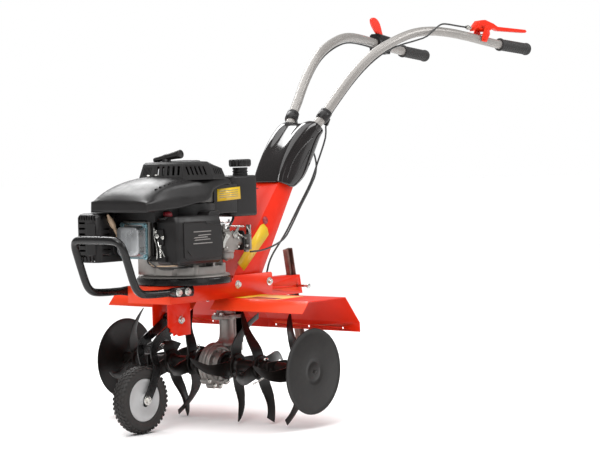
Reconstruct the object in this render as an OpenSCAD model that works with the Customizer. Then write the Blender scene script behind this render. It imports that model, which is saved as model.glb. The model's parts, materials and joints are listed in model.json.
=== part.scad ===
// Front-wheel garden tiller: engine on a red channel frame, belt to a worm gearbox,
// six tine stars and two plant-guard discs on one output shaft.
// Forward is +X, left is +Y, up is +Z, the ground is z = 0.

/* [Tines and wheel] */
// Radius of the circle swept by the tine tips
tine_r = 153; // [145:1:156]
// Sideways bend of each tine blade, degrees
tine_bend = 25; // [15:1:30]
// Thickness of each tine blade
tine_t = 5; // [3:0.5:6]
// Radius of the plant-guard discs
disc_r = 115; // [90:1:125]
// Radius of the front wheel tyre
wheel_r = 90; // [84:1:92]
// Width of the front wheel tyre
wheel_w = 40; // [30:1:41]
// Radius of the output shaft
shaft_r = 12.5; // [10:0.5:13]

/* [Frame] */
// Half width of the frame channel
frame_hw = 78; // [74:1:84]
// Sheet thickness of the frame channel
sheet_t = 3; // [2:0.5:4]
// Outer reach of each fender from the middle
fender_reach = 359; // [358.5:0.5:372]
// Radius of the bumper hoop tube
bumper_r = 10; // [8:0.5:11]

/* [Handles] */
// Radius of the handle tubes
tube_r = 14; // [12:0.5:15]
// Thickness of the rubber on each grip
grip_t = 3.5; // [2:0.5:5]
// Radius of the control cables
cable_r = 2.6; // [2:0.1:3]

/* [Engine] */
// Radius of the engine base ring
base_r = 128; // [120:1:132]
// Radius of the recoil crown
crown_r = 110; // [100:1:114]
// Radius of the fuel cap
cap_r = 31; // [26:1:33]

/* [Hidden] */
$fn = 48;

// The rotor axle stands this far in front of the middle of the whole machine.
axle_x = 435;
axle_z = 153;
crank_x = 118;
worm_x = -50;
wheel_x = 300;
pivot_x = 166;
pivot_z = 292;
arm_x = 100;
arm_y = 62;
stake_lean = 10.7;
frame_lo = 341;
frame_hi = 387;
rim_hi = 402;
red = [0.86, 0.16, 0.05];
black = [0.07, 0.07, 0.075];
steel = [0.66, 0.67, 0.69];
alloy = [0.58, 0.59, 0.60];
rubber = [0.045, 0.045, 0.045];

// Small vector helpers and a smooth curve through hand-chosen points.
function unit(v) = v / norm(v);
function pick(p, i) = p[max(0, min(len(p) - 1, i))];
function curve_at(a, b, c, d, t) =
  0.5 * (2 * b + (c - a) * t + (2 * a - 5 * b + 4 * c - d) * t * t
  + (3 * b - a - 3 * c + d) * t * t * t);
function smooth(p, n) = [
  for (i = [0 : len(p) - 2], k = [0 : n - 1])
    curve_at(pick(p, i - 1), p[i], p[i + 1], pick(p, i + 2), k / n),
  p[len(p) - 1]
];
function heading(p, i) = unit(pick(p, i + 1) - pick(p, i - 1));
function carry(u, t) = unit(u - (u * t) * t);
function frames(p, i, u) =
  i >= len(p) ? [] : let (w = carry(u, heading(p, i))) concat([w], frames(p, i + 1, w));
function flip(p) = [for (q = p) [q[0], -q[1], q[2]]];

module sweep(p, r, sides) {
  u = frames(p, 0, [0.03, 0.05, 1]);
  n = len(p);
  pts = [
    for (i = [0 : n - 1], k = [0 : sides - 1])
      let (t = heading(p, i), a = 360 * k / sides)
        p[i] + r * (cos(a) * u[i] + sin(a) * cross(t, u[i]))
  ];
  walls = [
    for (i = [0 : n - 2], k = [0 : sides - 1])
      let (m = (k + 1) % sides)
        [i * sides + k, (i + 1) * sides + k, (i + 1) * sides + m, i * sides + m]
  ];
  first = [for (k = [0 : sides - 1]) k];
  last = [for (k = [0 : sides - 1]) n * sides - 1 - k];
  polyhedron(pts, concat(walls, [first], [last]), convexity = 8);
}

// Everything is laid out from the ground point under the rotor axle.
module place() translate([axle_x, 0, 0]) children();
module at_axle() translate([axle_x, 0, axle_z]) children();
module along_y(y0, y1, r) translate([0, y0, 0]) rotate([-90, 0, 0]) cylinder(h = y1 - y0, r = r);
module slab_xz(y0, y1) translate([0, y1, 0]) rotate([90, 0, 0]) linear_extrude(y1 - y0) children();
module block(a, b) translate(a) cube(b - a);
module point_at(a, b) {
  d = b - a;
  translate(a)
    rotate([0, acos(d[2] / norm(d)), atan2(d[1], d[0])])
      children();
}
module rounded(w, d, r) {
  translate([-w / 2 + r, -d / 2]) square([w - 2 * r, d]);
  translate([-w / 2, -d / 2 + r]) square([w, d - 2 * r]);
  for (x = [-1, 1], y = [-1, 1])
    translate([x * (w / 2 - r), y * (d / 2 - r)]) circle(r);
}
module flanged_bolt(r) {
  cylinder(h = 1.6, r = r * 1.75);
  translate([0, 0, 1.5]) cylinder(h = r * 1.1, r = r * 1.1, $fn = 6);
}

// ---------------------------------------------------------------- frame
side_pts = [
  [258, frame_lo], [258, frame_hi], [12, frame_hi], [0, rim_hi],
  [-156, rim_hi], [-160, 398], [-160, frame_lo]
];
module main_frame() color(red) place() difference() {
  union() {
    slab_xz(frame_hw - sheet_t, frame_hw) polygon(side_pts);
    slab_xz(-frame_hw, -frame_hw + sheet_t) polygon(side_pts);
    block([-160, -frame_hw + 1, frame_hi - sheet_t], [258, frame_hw - 1, frame_hi]);
    block([258 - sheet_t, -frame_hw + 1, frame_lo], [258, frame_hw - 1, frame_hi - 1]);
    block([-160, -frame_hw + 1, frame_lo], [-160 + sheet_t, frame_hw - 1, frame_hi - 1]);
    block([-122, -frame_hw + 1, frame_lo], [0, frame_hw - 1, frame_lo + 4]);
    block([120, -frame_hw + 1, frame_lo], [226, frame_hw - 1, frame_lo + sheet_t]);
    hitch_box();
  }
  translate([crank_x, 0, frame_hi - 10]) cylinder(h = 20, r = 40);
  translate([worm_x, 0, frame_lo - 1]) cylinder(h = 10, r = 17);
  translate([arm_x, arm_y, frame_hi - 10]) cylinder(h = 20, r = 5.1);
}
module hitch_box() difference() {
  union() {
    for (y = [-17, 14])
      slab_xz(y, y + 3) polygon([[-158, 325], [-158, 380], [-357, 380], [-368, 325]]);
    block([-357, -16, 377], [-158, 16, 380]);
    slab_xz(-16, 16) polygon([[-357, 380], [-354, 380], [-365, 325], [-368, 325]]);
  }
  block([-353.5, -11, 370], [-320, 11, 385]);
  translate([-344.4, 0, 348]) along_y(-30, 30, 3.8);
  translate([-200, 0, 352]) along_y(-30, 30, 6);
}

column_side = [
  [-14, 387], [-14, 400], [-242, 656], [-300, 724], [-350, 704], [-302, 636], [-126, 387]
];
module column_front(half_lo, half_hi)
  polygon([[-half_lo, 380], [half_lo, 380], [half_hi, 740], [-half_hi, 740]]);
module column() color(red) place() difference() {
  intersection() {
    slab_xz(-90, 90) polygon(column_side);
    translate([-400, 0, 0]) rotate([90, 0, 90]) linear_extrude(420) column_front(64, 37);
  }
  intersection() {
    slab_xz(-90, 90) polygon([
      [-18, 386], [-18, 399], [-246.5, 655], [-300, 719], [-420, 760], [-420, 380], [-130, 380]
    ]);
    translate([-440, 0, 0]) rotate([90, 0, 90]) linear_extrude(460) column_front(61, 34);
  }
}

module wheel_bracket() color(red) place() difference() {
  union() {
    for (y = [-29.2, 26.2])
      slab_xz(y, y + 3) polygon([
        [129, 250], [129, 340], [217, 340], [217, 276], [207, 270], [209, 262],
        [198, 259], [196, 250], [184, 254], [176, 248]
      ]);
    block([129, -48, 338], [217, 48, 341]);
  }
  translate([pivot_x, 0, pivot_z]) along_y(-40, 40, 6.1);
}

module fender(s) color(red) place() scale([1, s, 1]) difference() {
  union() {
    slab_xz(32, fender_reach) polygon([
      [55, 311], [27, 341], [-132, 341], [-193, 268], [-195, 241],
      [-192.5, 241], [-190.5, 267], [-130.8, 338.5], [25.8, 338.5], [53, 309.5]
    ]);
  }
  translate([-200, fender_reach, 225]) rotate([45, 0, 0]) block([0, -12, -12], [30, 12, 12]);
  for (y = [60, 180, 300])
    translate([-200, y, 250]) rotate([0, 90, 0]) cylinder(h = 20, r = 3);
}
module fender_left() fender(1);
module fender_right() fender(-1);

module frame_bolts() color(steel) place() {
  for (s = [-1, 1]) scale([1, s, 1]) {
    for (x = [-13, -147])
      translate([x, frame_hw, 372]) rotate([-90, 0, 0]) flanged_bolt(6);
    for (x = [202, 237])
      translate([x, frame_hw + 12.1, 374]) rotate([-90, 0, 0]) flanged_bolt(6);
    for (x = [-110, 10], y = [92, 250])
      translate([x, y, 338.5]) rotate([180, 0, 0]) flanged_bolt(4);
  }
  translate([pivot_x, 29.2, pivot_z]) rotate([-90, 0, 0]) flanged_bolt(6);
  translate([pivot_x, 0, pivot_z]) along_y(-30, 30, 6);
  translate([pivot_x, -29.2, pivot_z]) rotate([90, 0, 0]) flanged_bolt(6);
}

hoop_half = [
  [178, 88.6, 374], [240, 88.6, 374], [300, 88.6, 374], [350, 88.6, 375], [380, 88.6, 379],
  [402, 88.6, 398], [418, 88.6, 428], [432, 88.6, 460], [444, 88.6, 492], [452, 84, 511],
  [457, 70, 520], [458, 40, 522]
];
hoop_back = [for (i = [len(hoop_half) - 1 : -1 : 0])
  [hoop_half[i][0], -hoop_half[i][1], hoop_half[i][2]]];
module bumper_bar() color(black) place() difference() {
  sweep(smooth(concat(hoop_half, hoop_back), 3), bumper_r, 12);
  for (s = [-1, 1]) scale([1, s, 1]) {
    block([130, 60, 350], [262, 78.2, 400]);
    block([130, 90, 350], [262, 120, 400]);
  }
}

// ---------------------------------------------------------------- cover and handles
module cover_side() polygon([
  [-233, 636], [-238, 664], [-262, 712], [-300, 762], [-346, 806], [-372, 820],
  [-400, 806], [-428, 796], [-404, 752], [-368, 700], [-350, 668], [-322, 650], [-286, 640]
]);
module cover_void() polygon([
  [-220, 620], [-220, 664], [-244, 664.5], [-266, 711], [-303, 759], [-348, 802], [-373, 815],
  [-400, 802], [-422, 793], [-400, 752], [-364, 700], [-346, 664], [-330, 620]
]);
module column_cover() color(black) place() difference() {
  slab_xz(-56, 56) cover_side();
  slab_xz(-53, 53) cover_void();
  for (s = [-1, 1])
    point_at([-372, s * 35, 762], [-430, s * 62, 850]) cylinder(h = 120, r = 18);
  block([-440, -30, 799], [-380, 30, 830]);
}

left_bar = [
  [-318, 16, 676], [-352, 23, 735], [-407, 50, 812], [-430, 60, 838], [-478, 72, 893],
  [-545, 91, 966], [-617, 109, 1024], [-693, 126, 1062], [-776, 140, 1089],
  [-849, 156, 1098], [-931, 170, 1095], [-1012, 181, 1086], [-1090, 186, 1076],
  [-1167, 190, 1067], [-1242, 195.7, 1061.3], [-1316, 201.3, 1055.7]
];
grip_a = [-1176, 190.7, 1066.3];
grip_b = [-1325, 202, 1055];
function under(p, i, off) =
  let (t = heading(p, i)) p[i] + off * unit([-t[2], 0, t[0]]);
module handle_tube_left() color(steel) place() sweep(smooth(left_bar, 3), tube_r, 16);
module handle_tube_right() color(steel) place() sweep(smooth(flip(left_bar), 3), tube_r, 16);
module grip() difference() {
  union() {
    cylinder(h = 150, r = tube_r + grip_t);
    cylinder(h = 4, r = tube_r + grip_t + 2);
    for (i = [0 : 8])
      translate([0, 0, 12 + i * 13]) cylinder(h = 8, r = tube_r + grip_t + 1.2);
    translate([0, 0, 138]) cylinder(h = 10, r = tube_r + grip_t + 1.6);
  }
  translate([0, 0, -1]) cylinder(h = 146.5, r = tube_r + 0.5);
}
module grip_left() color(rubber) place() point_at(grip_a, grip_b) grip();
module grip_right() color(rubber) place() scale([1, -1, 1]) point_at(grip_a, grip_b) grip();

clip_at = 3;
clip_off = tube_r + cable_r + 5;
module cable_clips() color(black) place() for (k = [-1, 1]) scale([1, k, 1]) {
  c = left_bar[clip_at];
  t = heading(left_bar, clip_at);
  h = under(left_bar, clip_at, clip_off);
  d = unit((k > 0 ? [-420, 74, 776] : [-446, 20, 784]) - under(left_bar, clip_at + 1, hug));
  difference() {
    union() {
      point_at(c - 12 * t, c + 12 * t) cylinder(h = 24, r = tube_r + 4);
      point_at(h - 10 * d, h + 10 * d) cylinder(h = 20, r = cable_r + 5);
    }
    point_at(c - 16 * t, c + 16 * t) cylinder(h = 32, r = tube_r + 0.8);
    point_at(h - 16 * d, h + 16 * d) cylinder(h = 32, r = cable_r + 2.4);
  }
}

housing_a = [-1010, -180.8, 1086.3];
housing_b = [-1082, -185.5, 1077];
module throttle_housing() color(black) place() point_at(housing_a, housing_b) difference() {
  union() {
    cylinder(h = 72, r = tube_r + 8);
    translate([-34, -15, 6]) cube([26, 30, 58]);
    translate([10, -12, 22]) cube([20, 24, 30]);
  }
  translate([0, 0, -1]) cylinder(h = 75, r = tube_r + 1);
  translate([-36, -6, 12]) cube([18, 12, 46]);
  translate([-26, -20, 35]) rotate([-90, 0, 0]) cylinder(h = 40, r = 3.05);
}
module throttle_lever() color(red) place() point_at(housing_a, housing_b) {
  translate([-26, -14.9, 35]) rotate([-90, 0, 0]) cylinder(h = 29.8, r = 3);
  translate([-26, 5, 35]) rotate([90, 0, 0]) linear_extrude(10) difference() {
    union() {
      circle(7);
      polygon([[2, -7], [-8, -18], [-22, -44], [-42, -66], [-54, -66], [-56, -50], [-44, -20], [-20, 2], [-4, 7]]);
    }
    circle(2);
  }
}

lever_x = -1090;
lever_y = 187;
lever_z = 1112;
module clutch_bracket() color(red) place() {
  for (y = [lever_y - 20.4, lever_y + 15.4])
    slab_xz(y, y + 3) polygon([
      [lever_x + 30, 1072], [lever_x + 30, 1086], [lever_x + 10, 1121],
      [lever_x - 8, 1121], [lever_x - 14, 1096], [lever_x + 6, 1070]
    ]);
  translate([lever_x, 0, lever_z]) along_y(lever_y - 22, lever_y + 20, 3.5);
  translate([lever_x + 18, 0, 1079]) along_y(lever_y - 22.5, lever_y - 18, 5);
  translate([lever_x + 18, 0, 1079]) along_y(lever_y + 17, lever_y + 22, 5);
  block([lever_x - 8, lever_y - 18.5, 1093.6], [lever_x + 18, lever_y + 17, 1096]);
}
module clutch_lever() color(red) place() difference() {
  union() {
    slab_xz(lever_y - 8, lever_y + 8) polygon([
      [lever_x + 62, 1103], [lever_x + 60, 1116], [lever_x + 34, 1136], [lever_x - 4, 1141],
      [lever_x - 52, 1131], [lever_x - 76, 1122], [lever_x - 240, 1119], [lever_x - 248, 1114],
      [lever_x - 240, 1109], [lever_x - 80, 1109], [lever_x - 50, 1116], [lever_x - 16, 1103],
      [lever_x + 10, 1103], [lever_x + 40, 1114]
    ]);
  }
  translate([lever_x, 0, lever_z]) along_y(lever_y - 20, lever_y + 20, 3.56);
}

hug = tube_r + cable_r + 0.9;
right_bar = flip(left_bar);
clutch_run = concat([
  [-1018, 186, 1113], [-960, 180, 1117], [-900, 174, 1121], [-862, 178, 1114],
  [-828, 172, 1092], [-796, 163, 1074]
], [for (i = [7, 6, 5, 4]) under(left_bar, i, hug)], [
  under(left_bar, 3, clip_off), [-420, 74, 776], [-384, 72, 706], [-350, 70, 646],
  [-288, 73, 577], [-238, 75, 520], [-206, 76, 488], [-172, 75, 455], [-154, 73, 428],
  [-147, 70, 402], [-143, 66, 391]
]);
throttle_run = concat([
  [-1006, -170, 1070], [-976, -166, 1070]
], [for (i = [10, 9, 8, 7, 6, 5, 4]) under(right_bar, i, hug)], [
  under(right_bar, 3, clip_off), [-446, -20, 784], [-424, 30, 722], [-384, 64, 676],
  [-338, 76, 630], [-290, 82, 583], [-240, 86, 527], [-205, 87, 493], [-149, 90, 474],
  [-90, 98, 466], [-46, 97, 465]
]);
module clutch_cable() color(rubber) place() sweep(smooth(clutch_run, 3), cable_r, 8);
module throttle_cable() color(rubber) place() sweep(smooth(throttle_run, 3), cable_r, 8);

// ---------------------------------------------------------------- engine
module engine_base() color(black) place() translate([crank_x, 0, frame_hi]) rotate_extrude()
  polygon([
    [46, 0], [base_r - 8, 0], [base_r, 6], [base_r, 14], [base_r - 6, 18], [46, 18]
  ]);
module crankcase() color(alloy) place() difference() {
  union() {
    translate([crank_x, 0, 405]) cylinder(h = 30, r = 112);
    translate([crank_x, 0, 434]) cylinder(h = 164, r = 80);
    block([crank_x, -62, 416], [232, 62, 540]);
    for (a = [30 : 60 : 330])
      translate([crank_x, 0, 405]) rotate([0, 0, a]) block([84, -4, 0], [110, 4, 60]);
    for (a = [0 : 60 : 300])
      translate([crank_x, 0, 405]) rotate([0, 0, a]) translate([106, 0, 0]) cylinder(h = 36, r = 9);
  }
  translate([crank_x, 0, 400]) cylinder(h = 200, r = 16.5);
  block([-10, 52.4, 447.5], [300, 140, 600]);
}
module cylinder_fins() color(alloy) place() {
  block([232.5, -46, 470], [300, 44, 566]);
  for (i = [0 : 6])
    block([238 + i * 8, -54, 462], [241 + i * 8, 50, 574]);
  block([292, -50, 464], [300, 46, 562]);
}
module rocker_cover() color(steel) place() translate([300, -3, 511]) rotate([90, 0, 90]) {
  linear_extrude(6) rounded(94, 94, 8);
  translate([0, 0, 5]) linear_extrude(28) rounded(76, 76, 12);
}
module engine_bolts() color(steel) place() {
  for (y = [-44.5, 38.5], z = [469.5, 552.5])
    translate([306, y, z]) rotate([0, 90, 0]) flanged_bolt(4);
}
module muffler() color(steel) place() {
  translate([312, -104, 476]) linear_extrude(94) rounded(104, 62, 16);
  block([240, -84, 505], [262, -54.5, 540]);
}
module muffler_guard() color(black) place() difference() {
  translate([316, -104, 456]) linear_extrude(130) rounded(128, 84, 12);
  translate([316, -104, 450]) linear_extrude(133) rounded(123, 79, 10);
  block([240, -100, 480], [262, -50, 560]);
  for (i = [0 : 6])
    block([370, -132, 470 + i * 15], [390, -108, 476 + i * 15]);
  for (i = [0 : 4])
    block([352 - i * 20, -70, 560], [358 - i * 20, -50, 574]);
  for (i = [0 : 5])
    block([330, -70, 470 + i * 14], [366, -50, 476 + i * 14]);
  for (i = [0 : 4])
    translate([366 - i * 22, -122, 580]) cube([8, 40, 10]);
}
module air_box() color(black) place() difference() {
  union() {
    translate([196, 94, 449]) linear_extrude(116) rounded(176, 82, 16);
    translate([196, 97, 560]) linear_extrude(16) rounded(168, 74, 18);
    translate([200, 132, 462]) rotate([-90, 0, 0]) translate([0, -48, 0])
      linear_extrude(5) rounded(120, 70, 10);
  }
  block([120, 131, 440], [272, 140, 452]);
}
module carburettor() color(steel) place() {
  block([0, 62, 470], [74, 104, 520]);
  translate([-34, 82, 496]) rotate([0, 90, 0]) cylinder(h = 142, r = 19);
  translate([36, 84, 452]) cylinder(h = 20, r = 20);
  block([30, 56, 500], [62, 64, 540]);
  block([20, 60, 519], [60, 100, 528]);
  translate([44, 82, 528]) cylinder(h = 18, r = 4);
  block([-36, 70, 470], [-28, 112, 512]);
  translate([-38, 97, 470]) rotate([0, 90, 0]) cylinder(h = 12, r = 5);
}
module throttle_arm() color(steel) place() translate([44, 82, 547]) {
  cylinder(h = 3, r = 9);
  rotate([0, 0, 200]) block([0, -4, 0], [44, 4, 3]);
  rotate([0, 0, 200]) translate([40, 0, 0]) cylinder(h = 9, r = 3);
}
module spark_plug() color([0.62, 0.5, 0.4]) place() {
  point_at([304, -56, 520], [346, -56, 584]) cylinder(h = 74, r = 4.4);
  point_at([304, -56, 520], [346, -56, 584]) translate([0, 0, 20]) cylinder(h = 40, r = 5.4);
}
module dome_side(i) polygon([
  [362 - i, 596], [362 - i, 612 - i / 2], [345 - i, 634 - i], [290 - i, 662 - i],
  [232, 679 - i], [10, 681 - i], [-4 + i, 672 - i], [-4 + i, 596]
]);
module blower_cover() color(black) place() difference() {
  union() {
    intersection() {
      slab_xz(-104, 104) dome_side(0);
      translate([0, 0, 500]) linear_extrude(300) polygon([
        [-4, -80], [20, -104], [300, -104], [362, -92], [362, 92], [300, 104], [20, 104], [-4, 90]
      ]);
    }
    translate([crank_x, 0, 678]) cylinder(h = 40, r1 = crown_r + 3, r2 = crown_r - 6);
  }
  difference() {
    slab_xz(-100, 100) dome_side(4);
    block([-40, -120, 676], [400, 120, 700]);
  }
  translate([crank_x, 0, 660]) cylinder(h = 54, r = crown_r - 10);
  for (a = [-28 : 12 : 80])
    translate([crank_x, 0, 684]) rotate([0, 0, a]) block([crown_r - 22, -3, 0], [crown_r + 8, 3, 26]);
  for (a = [140 : 12 : 250])
    translate([crank_x, 0, 684]) rotate([0, 0, a]) block([crown_r - 22, -3, 0], [crown_r + 8, 3, 26]);
}
module starter_grip() color(black) place() translate([176, 0, 735]) {
  rotate([8, 0, 0]) translate([0, -46, 0]) rotate([-90, 0, 0]) cylinder(h = 92, r = 8);
  rotate([8, 0, 0]) translate([0, 20, 0]) rotate([-90, 0, 0]) cylinder(h = 26, r = 9);
}
module fuel_tank() color(black) place() {
  translate([-66, 12, 560]) linear_extrude(116) rounded(118, 112, 18);
  translate([-84, 34, 675]) cylinder(h = 22, r = 20);
}
module fuel_cap() color(black) place() translate([-84, 34, 698]) {
  translate([0, 0, 4]) cylinder(h = 18, r = cap_r);
  cylinder(h = 5, r = cap_r - 3);
  for (a = [0 : 30 : 330])
    rotate([0, 0, a]) translate([cap_r - 2, 0, 5]) cylinder(h = 15, r = 4);
}

// ---------------------------------------------------------------- drive
module v_pulley(r, bore) rotate_extrude() polygon([
  [bore, 0], [r + 10, 0], [r + 10, 2], [r, 5], [r, 17], [r + 10, 20], [r + 10, 22], [bore, 22]
]);
module crankshaft() color(steel) place() translate([crank_x, 0, 0]) {
  translate([0, 0, 350]) cylinder(h = 264, r = 12.5);
  translate([0, 0, 606]) cylinder(h = 22, r = 84);
  for (a = [0 : 30 : 330])
    translate([0, 0, 627]) rotate([0, 0, a]) block([50, -2, 0], [80, 2, 26]);
}
module drive_pulley() color(steel) place() translate([crank_x, 0, 352]) v_pulley(26, 12.55);
module driven_pulley() color(steel) place() translate([worm_x, 0, 352]) v_pulley(50, 10.05);
function tangent_y(r0, r1, d) = sqrt(d * d - (r0 - r1) * (r0 - r1)) / d;
module belt_loop(t) {
  d = crank_x - worm_x;
  r0 = 50.6 + t;
  r1 = 26.6 + t;
  c = (r0 - r1) / d;
  s = tangent_y(r0, r1, d);
  circle(r0);
  translate([d, 0]) circle(r1);
  e = 3;
  for (k = [-1, 1]) scale([1, k]) polygon([
    [0, 0], [r0 * c - e * s, r0 * s + e * c], [d + r1 * c + e * s, r1 * s - e * c], [d, 0]
  ]);
}
module drive_belt() color(rubber) place() translate([worm_x, 0, 358.5])
  linear_extrude(9) difference() {
    belt_loop(8);
    belt_loop(0);
  }
module worm_shaft() color(steel) place() translate([worm_x, 0, 0]) {
  translate([0, 0, 120]) cylinder(h = 254, r = 10);
}
module tension_arm() color(steel) place() translate([arm_x, arm_y, 0]) {
  translate([0, 0, 375]) linear_extrude(5) {
    circle(10);
    rotate(-176) translate([0, -8]) square([62, 16]);
    rotate(5) translate([0, -4]) square([26, 8]);
  }
  translate([0, 0, 377]) cylinder(h = 9.5, r = 5);
  rotate([0, 0, -176]) translate([56, 0, 356]) cylinder(h = 21, r = 4);
}
module idler_pulley() color(steel) place() translate([arm_x, arm_y, 0])
  rotate([0, 0, -176]) translate([56, 0, 355]) difference() {
    cylinder(h = 16, r = 10);
    translate([0, 0, -1]) cylinder(h = 18, r = 4.06);
  }

// ---------------------------------------------------------------- gearbox
module gearbox_leg() color(alloy) place() difference() {
  union() {
    translate([worm_x, 0, 200]) cylinder(h = 141, r = 20);
    translate([worm_x, 0, 200]) cylinder(h = 12, r = 28);
    translate([worm_x, 0, 276]) linear_extrude(12) rounded(92, 44, 14);
    translate([-83, 0, 205]) linear_extrude(136) rounded(36, 34, 5);
    translate([-62, 0, 333]) linear_extrude(8) rounded(106, 60, 10);
    block([-70, -6, 205], [-40, 6, 333]);
  }
  translate([worm_x, 0, 190]) cylinder(h = 136, r = 12);
  translate([worm_x, 0, 190]) cylinder(h = 160, r = 10.06);
}
module housing_half() difference() {
  union() {
    along_y(0, 20, 52);
    along_y(0, 30, 30);
    along_y(0, 38, 22);
    for (a = [238 : 26 : 316])
      rotate([0, -a, 0]) translate([59, 0, 0]) along_y(0, 12, 9.5);
    intersection() {
      translate([worm_x, 0, -38]) cylinder(h = 85, r = 20);
      block([-90, 0, -60], [30, 60, 60]);
    }
    block([-98, 0, 30], [-40, 17, 47]);
    block([-98, 0, 46], [-79, 17, 52]);
  }
  along_y(-1, 15, 45);
  along_y(-1, 50, shaft_r + 0.06);
  translate([worm_x, 0, -34]) cylinder(h = 90, r = 12);
  for (a = [238 : 26 : 316])
    rotate([0, -a, 0]) translate([59, 0, 0]) along_y(-1, 14, 3.1);
}
module gearbox_left() color(alloy) at_axle() housing_half();
module gearbox_right() color(alloy) at_axle() scale([1, -1, 1]) housing_half();
module gearbox_bolts() color(steel) {
  at_axle() for (a = [238 : 26 : 316]) rotate([0, -a, 0]) translate([59, 0, 0]) {
    along_y(-14, 14, 3);
    translate([0, 12, 0]) rotate([-90, 0, 0]) flanged_bolt(3.4);
    translate([0, -12, 0]) rotate([90, 0, 0]) flanged_bolt(3.4);
  }
  place() for (y = [-11, 11]) translate([worm_x + 33, y, 288]) flanged_bolt(5);
}

// ---------------------------------------------------------------- rotor
module output_shaft() color(steel) at_axle() difference() {
  along_y(-150, 150, shaft_r);
  for (s = [-1, 1])
    translate([0, s * 60, -30]) cylinder(h = 60, r = 4.2);
}
module worm_wheel() color([0.72, 0.55, 0.25]) at_axle() difference() {
  union() {
    along_y(-9, 9, 34);
    for (a = [0 : 12 : 348])
      rotate([0, a, 0]) slab_xz(-9, 9) polygon([[32, -2.4], [39, -1.2], [39, 1.2], [32, 2.4]]);
  }
  along_y(-20, 20, shaft_r + 0.04);
}
tip_off = 37;
tip_in = sqrt(tine_r * tine_r - tip_off * tip_off);
tip_x = 69 + (tip_in - 69) / cos(tine_bend) - 1.2;
module blade_root() polygon([[10, -20], [56, -21], [72, -20], [72, 14], [56, 17], [10, 20]]);
module blade_tip(bend) translate([69, 0, 0]) rotate([0, -bend, 0])
  translate([-69, 0, -tine_t / 2 + 0.1]) linear_extrude(tine_t - 0.2) polygon([
    [66, -20.6], [86, -17], [112, -8], [134, 8], [148, 22], [tip_x, tip_off],
    [140, 30], [118, 18], [98, 12], [66, 15.4]
  ]);
module star(y, phase, bend) translate([0, y, 0]) rotate([90, 0, 0]) {
  translate([0, 0, -tine_t / 2]) linear_extrude(tine_t) {
    for (k = [0 : 3])
      rotate(phase + 90 * k - atan2(tip_off, tip_in)) blade_root();
    rotate(phase) square(56, center = true);
  }
  for (k = [0 : 3])
    rotate([0, 0, phase + 90 * k - atan2(tip_off, tip_in)]) blade_tip(bend);
}
module inner_set(p0, p1) difference() {
  union() {
    along_y(40, 192, 18);
    star(80, p0, -tine_bend);
    star(165, p1, -tine_bend);
  }
  along_y(30, 200, shaft_r + 0.05);
  for (y = [60, 182])
    translate([0, y, -30]) cylinder(h = 60, r = 4.2);
}
module outer_set(p2) difference() {
  union() {
    along_y(152, 194, shaft_r - 0.05);
    along_y(193, 344, 18);
    star(295, p2, tine_bend);
    translate([0, 222, 0]) rotate([90, 0, 0]) linear_extrude(tine_t) rounded(84, 40, 5);
  }
  translate([0, 182, -30]) cylinder(h = 60, r = 4.2);
  for (s = [-1, 1])
    translate([s * 30, 0, 0]) along_y(210, 230, 5);
  along_y(330, 350, 5.2);
}
module tines_left_inner() color(black) at_axle() inner_set(-77, -90);
module tines_left_outer() color(black) at_axle() outer_set(-80);
module tines_right_inner() color(black) at_axle() scale([1, -1, 1]) inner_set(-83, -90);
module tines_right_outer() color(black) at_axle() scale([1, -1, 1]) outer_set(-98);
module guard_disc() {
  rotate([-90, 0, 0]) rotate_extrude() polygon([
    [0, 347], [30, 347], [60, 347.5], [disc_r - 4, 345.5], [disc_r, 347], [disc_r, 350],
    [disc_r - 3, 350], [60, 352], [34, 353.5], [0, 353.5]
  ]);
  along_y(335, 358, 5);
}
module disc_left() color(black) at_axle() guard_disc();
module disc_right() color(black) at_axle() scale([1, -1, 1]) guard_disc();
module tine_pins() color(steel) at_axle() for (s = [-1, 1], y = [60, 182]) {
  translate([0, s * y, -24]) cylinder(h = 48, r = 4);
  translate([0, s * y, 24]) cylinder(h = 3, r = 7);
}

// ---------------------------------------------------------------- front wheel
module strap() slab_xz(21.6, 25.8) difference() {
  union() {
    translate([pivot_x, pivot_z]) circle(15);
    polygon([
      [pivot_x + 14, pivot_z - 4], [206, 258], [262, 236], [286, 208], [294, 160], [312, 94],
      [306, 70], [290, 68], [270, 160], [264, 192], [248, 212], [184, 236],
      [pivot_x - 13, pivot_z - 8]
    ]);
  }
  translate([pivot_x, pivot_z]) circle(6.06);
  translate([wheel_x, wheel_r]) circle(5.1);
}
module wheel_fork() color(black) place() {
  strap();
  scale([1, -1, 1]) strap();
  translate([196, 0, 250]) along_y(-22, 22, 8);
}
module tyre() color(rubber) place() translate([wheel_x, 0, wheel_r]) rotate([90, 0, 0]) {
  rotate_extrude() {
    polygon([
      [57, -13], [60, -wheel_w / 2 + 2], [wheel_r - 14, -wheel_w / 2],
      [wheel_r - 4, -wheel_w / 2 + 5], [wheel_r - 2, 0], [wheel_r - 4, wheel_w / 2 - 5],
      [wheel_r - 14, wheel_w / 2], [60, wheel_w / 2 - 2], [57, 13]
    ]);
  }
  for (a = [0 : 20 : 340])
    rotate([0, 0, a - 90]) block([wheel_r - 8, -5, -11], [wheel_r, 5, 11]);
}
module wheel_hub() color([0.8, 0.8, 0.8]) place() translate([wheel_x, 0, wheel_r]) rotate([90, 0, 0])
  rotate_extrude() polygon([
    [5.06, -20], [14, -20], [18, -14], [50, -15], [56.9, -14], [56.9, 14], [50, 15],
    [18, 14], [14, 20], [5.06, 20]
  ]);
module wheel_axle() color(steel) place() translate([wheel_x, 0, wheel_r]) {
  along_y(-26, 26, 5);
  translate([0, 25.8, 0]) rotate([-90, 0, 0]) flanged_bolt(6);
  translate([0, -25.8, 0]) rotate([90, 0, 0]) flanged_bolt(6);
}

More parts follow.
